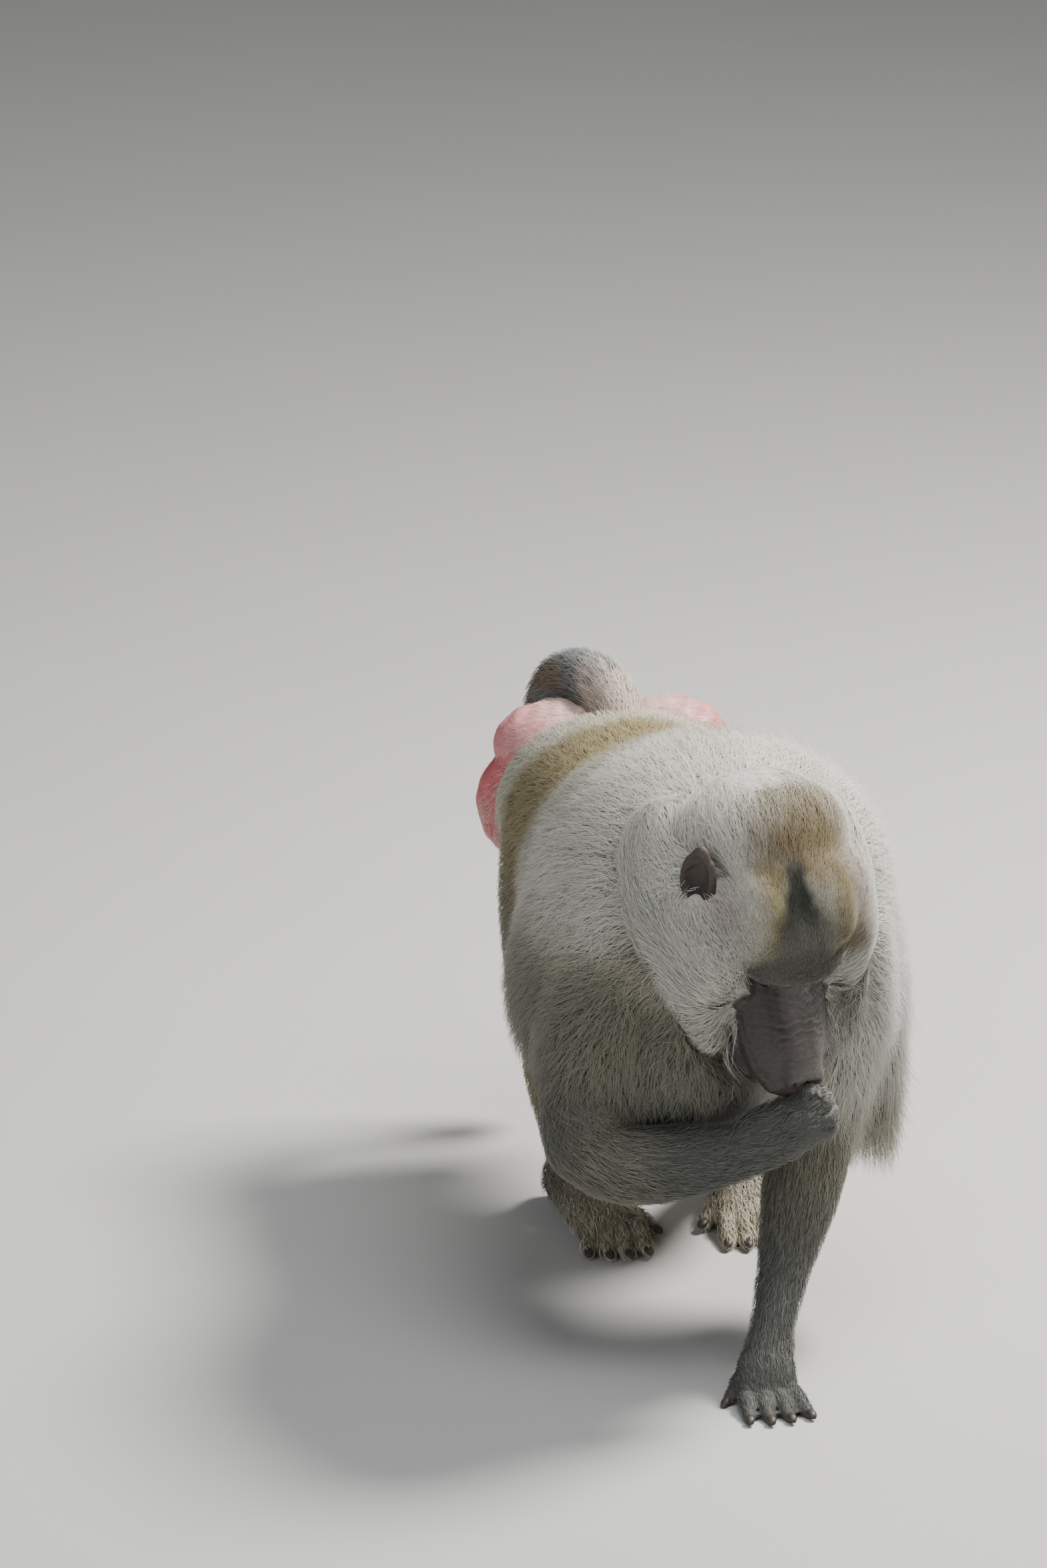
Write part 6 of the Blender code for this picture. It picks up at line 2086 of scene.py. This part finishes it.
@dataclass
class Limbs:
    """Forearms with hands, and shanks with feet: skins, coats and claws."""

    dresser: Dresser
    voxel: float = 0.0030
    sink: float = 0.0036
    nail_floor: float = 0.0006
    # Of a foot: ankle and toes across, both ends along, and the side of the great toe.
    feet: ClassVar[dict[Limb, tuple[float, float, float, float, int]]] = {
        Limb.LEG_RIGHT: (-0.080, -0.050, 0.232, 0.060, 1),
        Limb.LEG_LEFT: (0.092, 0.090, 0.240, 0.068, -1),
    }
    nails: list[tuple[Array, Array, float]] = field(default_factory=list)
    # The way across the right hand, from its last finger to its first.
    across_fist: Triple = (0.05, 0.33, 0.94)
    # The right hand's knuckles, from the first finger to the fourth.
    knuckles: Rows = mm(
        (68, -306, 311), (82.5, -307, 303.5), (88.5, -306, 289.5), (86.5, -303, 275),
    )

    def add_foot(self, forms: Forms, kind: Limb) -> None:
        """Adds a flat foot from heel to toes, with the great toe standing off inwards."""
        ankle_x, toe_x, back, front, inward = self.feet[kind]
        middle = (ankle_x + toe_x) / 2
        long = back - front
        sole = [
            (ankle_x, back - 0.012, 0.026, 0.021, 0.024),
            (ankle_x * 0.8 + toe_x * 0.2, back - long * 0.25, 0.026, 0.024, 0.024),
            (middle, back - long * 0.5, 0.023, 0.029, 0.021),
            (toe_x * 0.8 + ankle_x * 0.2, front + long * 0.32, 0.018, 0.033, 0.017),
        ]
        forms.loft(sole, sides=20)
        root = front + long * 0.36
        for k, reach in zip((-1.5, -0.5, 0.5, 1.5), (0.85, 0.97, 1.0, 0.93)):
            spread = k if inward > 0 else -k
            start = (toe_x + spread * 0.0150, root, 0.017)
            end = (toe_x + spread * 0.0195, root - (root - front) * reach, 0.0085)
            self.finger(forms, start, end, 0.009, 0.0088)
        start = (toe_x + inward * 0.020, front + long * 0.55, 0.017)
        end = (toe_x + inward * 0.044, front + long * 0.32, 0.0095)
        self.finger(forms, start, end, 0.006, 0.0100)

    def finger(self, forms: Forms, base: Triple, tip: Triple, lift: float, radius: float) -> None:
        """Adds a finger or toe and notes where its nail sits."""
        forms.toe(base, tip, lift, radius)
        way = unit(np.array(tip) - np.array(base))
        sits = np.array(tip) + way * radius * 0.30 - np.array((0.0, 0.0, self.sink))
        self.nails.append((sits, way, radius))

    def add_floor_hand(self, forms: Forms) -> None:
        """Adds the left hand: palm raised, fingers flat on the floor."""
        palm = [
            (0.036, -0.278, 0.048, 0.024, 0.018),
            (0.031, -0.292, 0.034, 0.029, 0.016),
            (0.029, -0.305, 0.020, 0.031, 0.0125),
        ]
        forms.loft(palm, sides=20)
        for k, reach in zip((-1.5, -0.5, 0.5, 1.5), (0.92, 1.0, 0.96, 0.84)):
            start = (0.030 + k * 0.0150, -0.304, 0.016)
            end = (0.034 + k * 0.0195, -0.304 - 0.050 * reach, 0.0066)
            self.finger(forms, start, end, 0.003, 0.0082)
        self.finger(forms, (0.010, -0.285, 0.026), (-0.008, -0.304, 0.0070), 0.002, 0.0080)

    def add_mouth_hand(self, forms: Forms) -> None:
        """Adds the right hand: a loose fist whose fingertips and thumb meet below the lips."""
        palm = [
            (0.020, -0.272, 0.2570, 0.0275, 0.0240),
            (0.040, -0.287, 0.2715, 0.0285, 0.0215),
            (0.063, -0.297, 0.2835, 0.0285, 0.0185),
            (0.081, -0.301, 0.2890, 0.0235, 0.0145),
        ]
        forms.loft(palm, side=self.across_fist, sides=24)
        for k, knuckle in enumerate(self.knuckles):
            root = np.array((0.062, -0.296, 0.2960 - 0.0085 * k))
            bend = np.array(knuckle) + np.array((-0.006, 0.017, 0.006 - 0.002 * k))
            tip = bend + np.array((-0.018, 0.002, 0.002))
            places = zip((root, knuckle, bend, tip), (0.0085, 0.0076, 0.0074, 0.0068))
            rows = [(*place, radius, radius) for place, radius in places]
            forms.loft(rows, side=self.across_fist, sides=14)
        thumb = [
            (0.046, -0.296, 0.268, 0.0085, 0.0085),
            (0.044, -0.306, 0.280, 0.0085, 0.0085),
            (0.052, -0.312, 0.292, 0.0075, 0.0075),
        ]
        forms.loft(thumb, side=(0.0, 1.0, 0.0), sides=14)

    def build_skin(self, kind: Limb) -> Surface:
        """Makes one limb's skin.

        Args:
            kind: which limb.

        Returns:
            The skin, let in below its coat and flat where it meets the floor.
        """
        forms = Forms()
        forms.loft(getattr(BUILD, kind.named("upper_arm", "thigh"))[-2:], sides=24)
        level = (0.0, 0.0, 1.0) if kind is Limb.ARM_RIGHT else (1.0, 0.0, 0.0)
        lower = getattr(BUILD, kind.named("forearm", "shank"))
        forms.loft(lower, side=level, sides=24 if kind.hind else 28)
        if kind.hind:
            self.add_foot(forms, kind)
        elif kind is Limb.ARM_LEFT:
            self.add_floor_hand(forms)
        else:
            self.add_mouth_hand(forms)
        voxel = self.voxel * (0.8 if kind is Limb.ARM_RIGHT else 1.0)
        skin = Surface(forms.skin(f"{kind.value}_skin", voxel, 3))
        hand = self.hand_share(skin.points, kind)
        depth = -0.0038 * (1.0 - hand) - 0.0006 * hand
        if kind is Limb.ARM_RIGHT:
            skin.push(depth - self.clefts(skin.points))
            return skin
        skin.push(depth)
        drop = np.zeros_like(skin.points)
        drop[:, 2] = -self.sink
        skin.move(drop)
        flat = np.zeros_like(skin.points)
        flat[:, 2] = np.maximum(0.0, 0.0004 - skin.points[:, 2])
        skin.move(flat)
        return skin

    def clefts(self, points: Array) -> Array:
        """How deep the skin is let in between the right hand's knuckles."""
        deep = np.zeros(len(points))
        for first, second in zip(self.knuckles, self.knuckles[1:]):
            away = points - (np.array(first) + np.array(second)) / 2
            across = away @ unit(np.array(second) - np.array(first))
            near = 1.0 - smooth(np.linalg.norm(away, axis=1), 0.012, 0.020)
            deep += 0.0032 * bell((across, 0.0, 0.0018)) * near
        return deep

    @staticmethod
    def hand_share(points: Array, kind: Limb) -> Array:
        """One on hand or foot, zero on the limb."""
        x, z = points[:, 0], points[:, 2]
        if kind is Limb.ARM_RIGHT:
            return smooth(x, 0.030, 0.060)
        if kind is Limb.ARM_LEFT:
            return 1.0 - smooth(z, 0.040, 0.062)
        return 1.0 - smooth(z, 0.036, 0.058)

    @classmethod
    def density(cls, kind: Limb, points: Array, normals: Array) -> Array:
        """Share of hair on a limb: none on the palm, the sole and the fingertips."""
        hand = cls.hand_share(points, kind)
        if kind is Limb.ARM_RIGHT:
            tips = smooth(-normals[:, 1], 0.5, 0.9) * smooth(points[:, 0], 0.045, 0.06) * 0.9
            return 1.0 - tips * (1.0 - smooth(points[:, 2], 0.27, 0.30))
        palm = smooth(-normals[:, 2], -0.1, 0.35) * hand
        tips = smooth(-points[:, 1], 0.325, 0.345) if kind is Limb.ARM_LEFT else 0.0
        return np.clip((1.0 - palm) * (1.0 - tips) * (1.0 + 0.4 * hand), 0.0, None)

    @classmethod
    def lie(cls, kind: Limb, points: Array, normals: Array) -> Array:
        """Down the limb, and to the fingers or toes."""
        ahead = (0.5, -0.2, 0.6) if kind is Limb.ARM_RIGHT else (0.0, -1.0, -0.15)
        return unit(mix(kind.spine.nearest(points)[1], ahead, cls.hand_share(points, kind)))

    @classmethod
    def cut(cls, kind: Limb, points: Array) -> Cut:
        """Short, and longer at the elbow of the right arm and high on the left one."""
        hand = cls.hand_share(points, kind)
        length = 0.015 * (1.0 - hand) + (0.018 if kind.hind else 0.008) * hand
        lift = 0.0038 * (1.0 - hand) + (0.0046 if kind.hind else 0.0016) * hand
        if kind is Limb.ARM_RIGHT:
            elbow = 1.0 - smooth(points[:, 0], -0.11, -0.04)
            length = length + 0.014 * elbow - 0.003 * smooth(points[:, 0], 0.066, 0.078)
        if kind is Limb.ARM_LEFT:
            length = length + 0.010 * smooth(points[:, 2], 0.12, 0.22)
        return Cut(length, 0.0006 + 0.016 * length, lift, 4, 0.0009, 0.014, 0.12, 0.22, 0.2, 6)

    @staticmethod
    def tint(kind: Limb, points: Array, shares: Array, random: Random) -> Array:
        """Colours along a limb's hairs."""
        root, tip = Markings.limb(points, kind)
        return speckle(along(root, tip, shares, 0.9), random, 0.22)

    @staticmethod
    def unwrap(kind: Limb, points: Array) -> Array:
        """Around a limb, and along it."""
        _, way, run, offset = kind.spine.nearest(points)
        ahead = np.clip((offset * way).sum(1), 0.0, 0.2)
        return chart(offset[:, 0], offset[:, 1] + 0.3 * offset[:, 2], (run + ahead) / 0.45, 0.9)

    def build_coat(self, kind: Limb, skin: Surface) -> list[Piece]:
        """Makes one limb's coat.

        Args:
            kind: which limb.
            skin: its skin.

        Returns:
            The coat's pieces.
        """
        hair = Coat(skin, SEED + 30 + list(Limb).index(kind))
        ways = (self.density, self.lie, self.cut, self.tint, self.unwrap)
        count = 6500 if kind.hind else 8500
        return hair.grow(f"{kind.value}_coat", count, *(partial(way, kind) for way in ways))

    def build_nails(self) -> None:
        """Makes the nails: narrow, curved and dark, each let into its finger."""
        bm = bmesh.new()
        for tip, way, radius in self.nails:
            up = np.array((0.0, 0.0, 1.0))
            across = unit(np.cross(way, up))
            rise = np.cross(across, way)
            place = np.eye(4)
            place[:3, 0] = across * radius * 0.52
            place[:3, 1] = way * radius * 0.85
            place[:3, 2] = rise * radius * 0.34
            place[:3, 3] = tip + rise * radius * 0.50
            matrix = Matrix(place.tolist())
            made = bmesh.ops.create_icosphere(bm, subdivisions=3, radius=1.0, matrix=matrix)["verts"]
            for vert in made:
                reach = (Vector(vert.co) - Vector(place[:3, 3])).dot(Vector(way)) / (radius * 0.85)
                vert.co.z = max(vert.co.z - 0.0016 * max(0.0, reach) ** 2, self.nail_floor)
        nails = Surface(new_piece("claws", bm))
        nails.paint(Shade.HORN.rgb * (1.0 + 0.25 * mottle(nails.points, 0.006, 16)[:, None]))
        self.dresser.wear(nails.obj, Gloss("claw_horn", 0.45, 0.1), "hand_skin")

    def build(self) -> None:
        """Makes all four limbs."""
        hide, fur = BareSkin("limb_hide", 0.66, 700.0, 320.0, 0.0007), Hair("limb_hair")
        for kind in Limb:
            skin = self.build_skin(kind)
            slot = "leg_fur" if kind.hind else "slate_fur"
            bare = Shade.FOOT.rgb * 0.30 if kind.hind else Shade.SLATE.rgb * 0.55
            colour = mix(*Markings.limb(skin.points, kind), 0.35) * 0.75
            skin.paint(mix(colour, bare, self.hand_share(skin.points, kind) * 0.85))
            coat = self.build_coat(kind, skin)
            self.dresser.wear(skin.obj, hide, slot, *kind.nodes)
            for piece in coat:
                self.dresser.wear(piece, fur, slot)
        self.build_nails()


@dataclass
class Studio:
    """Floor, lights and camera."""

    azimuth: float = 9.0
    dip: float = 19.5
    camera_at: Triple = (-1.35288, -7.54945, 3.21397)
    focal_pixels: float = 12640.0
    image_width: float = 1568.0
    sensor: float = 36.0
    # The place that the lights face, and of each its name, place, size, power and colour.
    lit: Triple = (0.0, 0.0, 0.35)
    lights: tuple[tuple[str, Triple, float, float, Triple], ...] = (
        ("key", (1.8, 0.5, 3.0), 1.0, 250.0, (1.0, 0.97, 0.92)),
        ("fill", (-2.4, -2.8, 1.9), 2.6, 36.0, (0.93, 0.97, 1.0)),
        ("top", (0.3, -1.2, 3.2), 1.8, 46.0, (1.0, 1.0, 1.0)),
    )

    def build_floor(self) -> None:
        """Makes a wide flat floor."""
        bm = bmesh.new()
        bmesh.ops.create_grid(bm, x_segments=2, y_segments=2, size=12.0)
        floor = new_piece("floor", bm)
        floor.data.materials.append(Plaster().material())

    def build_camera(self) -> None:
        """Puts the camera at the photograph's viewing angle."""
        turn, dip = math.radians(self.azimuth), math.radians(self.dip)
        level = math.cos(dip)
        ahead = Vector((math.sin(turn) * level, math.cos(turn) * level, -math.sin(dip)))
        right = Vector((math.cos(turn), -math.sin(turn), 0.0))
        rows = Matrix((right, right.cross(ahead), -ahead)).transposed()
        lens = bpy.data.cameras.new("camera")
        lens.sensor_fit = "HORIZONTAL"
        lens.sensor_width = self.sensor
        lens.lens = self.sensor * self.focal_pixels / self.image_width
        lens.clip_end = 60.0
        camera = bpy.data.objects.new("camera", lens)
        camera.matrix_world = Matrix.Translation(self.camera_at) @ rows.to_4x4()
        bpy.context.scene.collection.objects.link(camera)
        bpy.context.scene.camera = camera

    def add_light(self, name: str, at: Triple, size: float, power: float, colour: Triple) -> None:
        """Adds a large soft light that faces the animal."""
        lamp = bpy.data.lights.new(name, "AREA")
        lamp.shape = "DISK"
        lamp.size = size
        lamp.energy = power
        lamp.color = colour
        light = bpy.data.objects.new(name, lamp)
        light.location = at
        facing = Vector(self.lit) - Vector(at)
        light.rotation_euler = facing.to_track_quat("-Z", "Y").to_euler()
        bpy.context.scene.collection.objects.link(light)

    def build(self) -> None:
        """Makes the whole studio."""
        self.build_floor()
        self.build_camera()
        for light in self.lights:
            self.add_light(*light)
        world = bpy.data.worlds.new("studio")
        world.use_nodes = True
        sky = world.node_tree.nodes["Background"]
        sky.inputs["Color"].default_value = (0.80, 0.84, 0.88, 1.0)
        sky.inputs["Strength"].default_value = 0.19
        bpy.context.scene.world = world


def main() -> None:
    """Builds the baboon and its studio, and reports each piece."""
    logging.basicConfig(level=logging.INFO, format="%(message)s")
    dresser = Dresser()
    Studio().build()
    head, trunk, rump = Head(dresser), Trunk(dresser), Rump(dresser)
    head_skin, trunk_skin, rump_skin = head.build_skin(), trunk.build_skin(), rump.build_skin()
    head.dress(head_skin, trunk_skin)
    trunk.dress(trunk_skin, head_skin, rump_skin)
    rump.dress(rump_skin)
    Tail(dresser).build()
    Limbs(dresser).build()


if __name__ == "__main__":
    main()
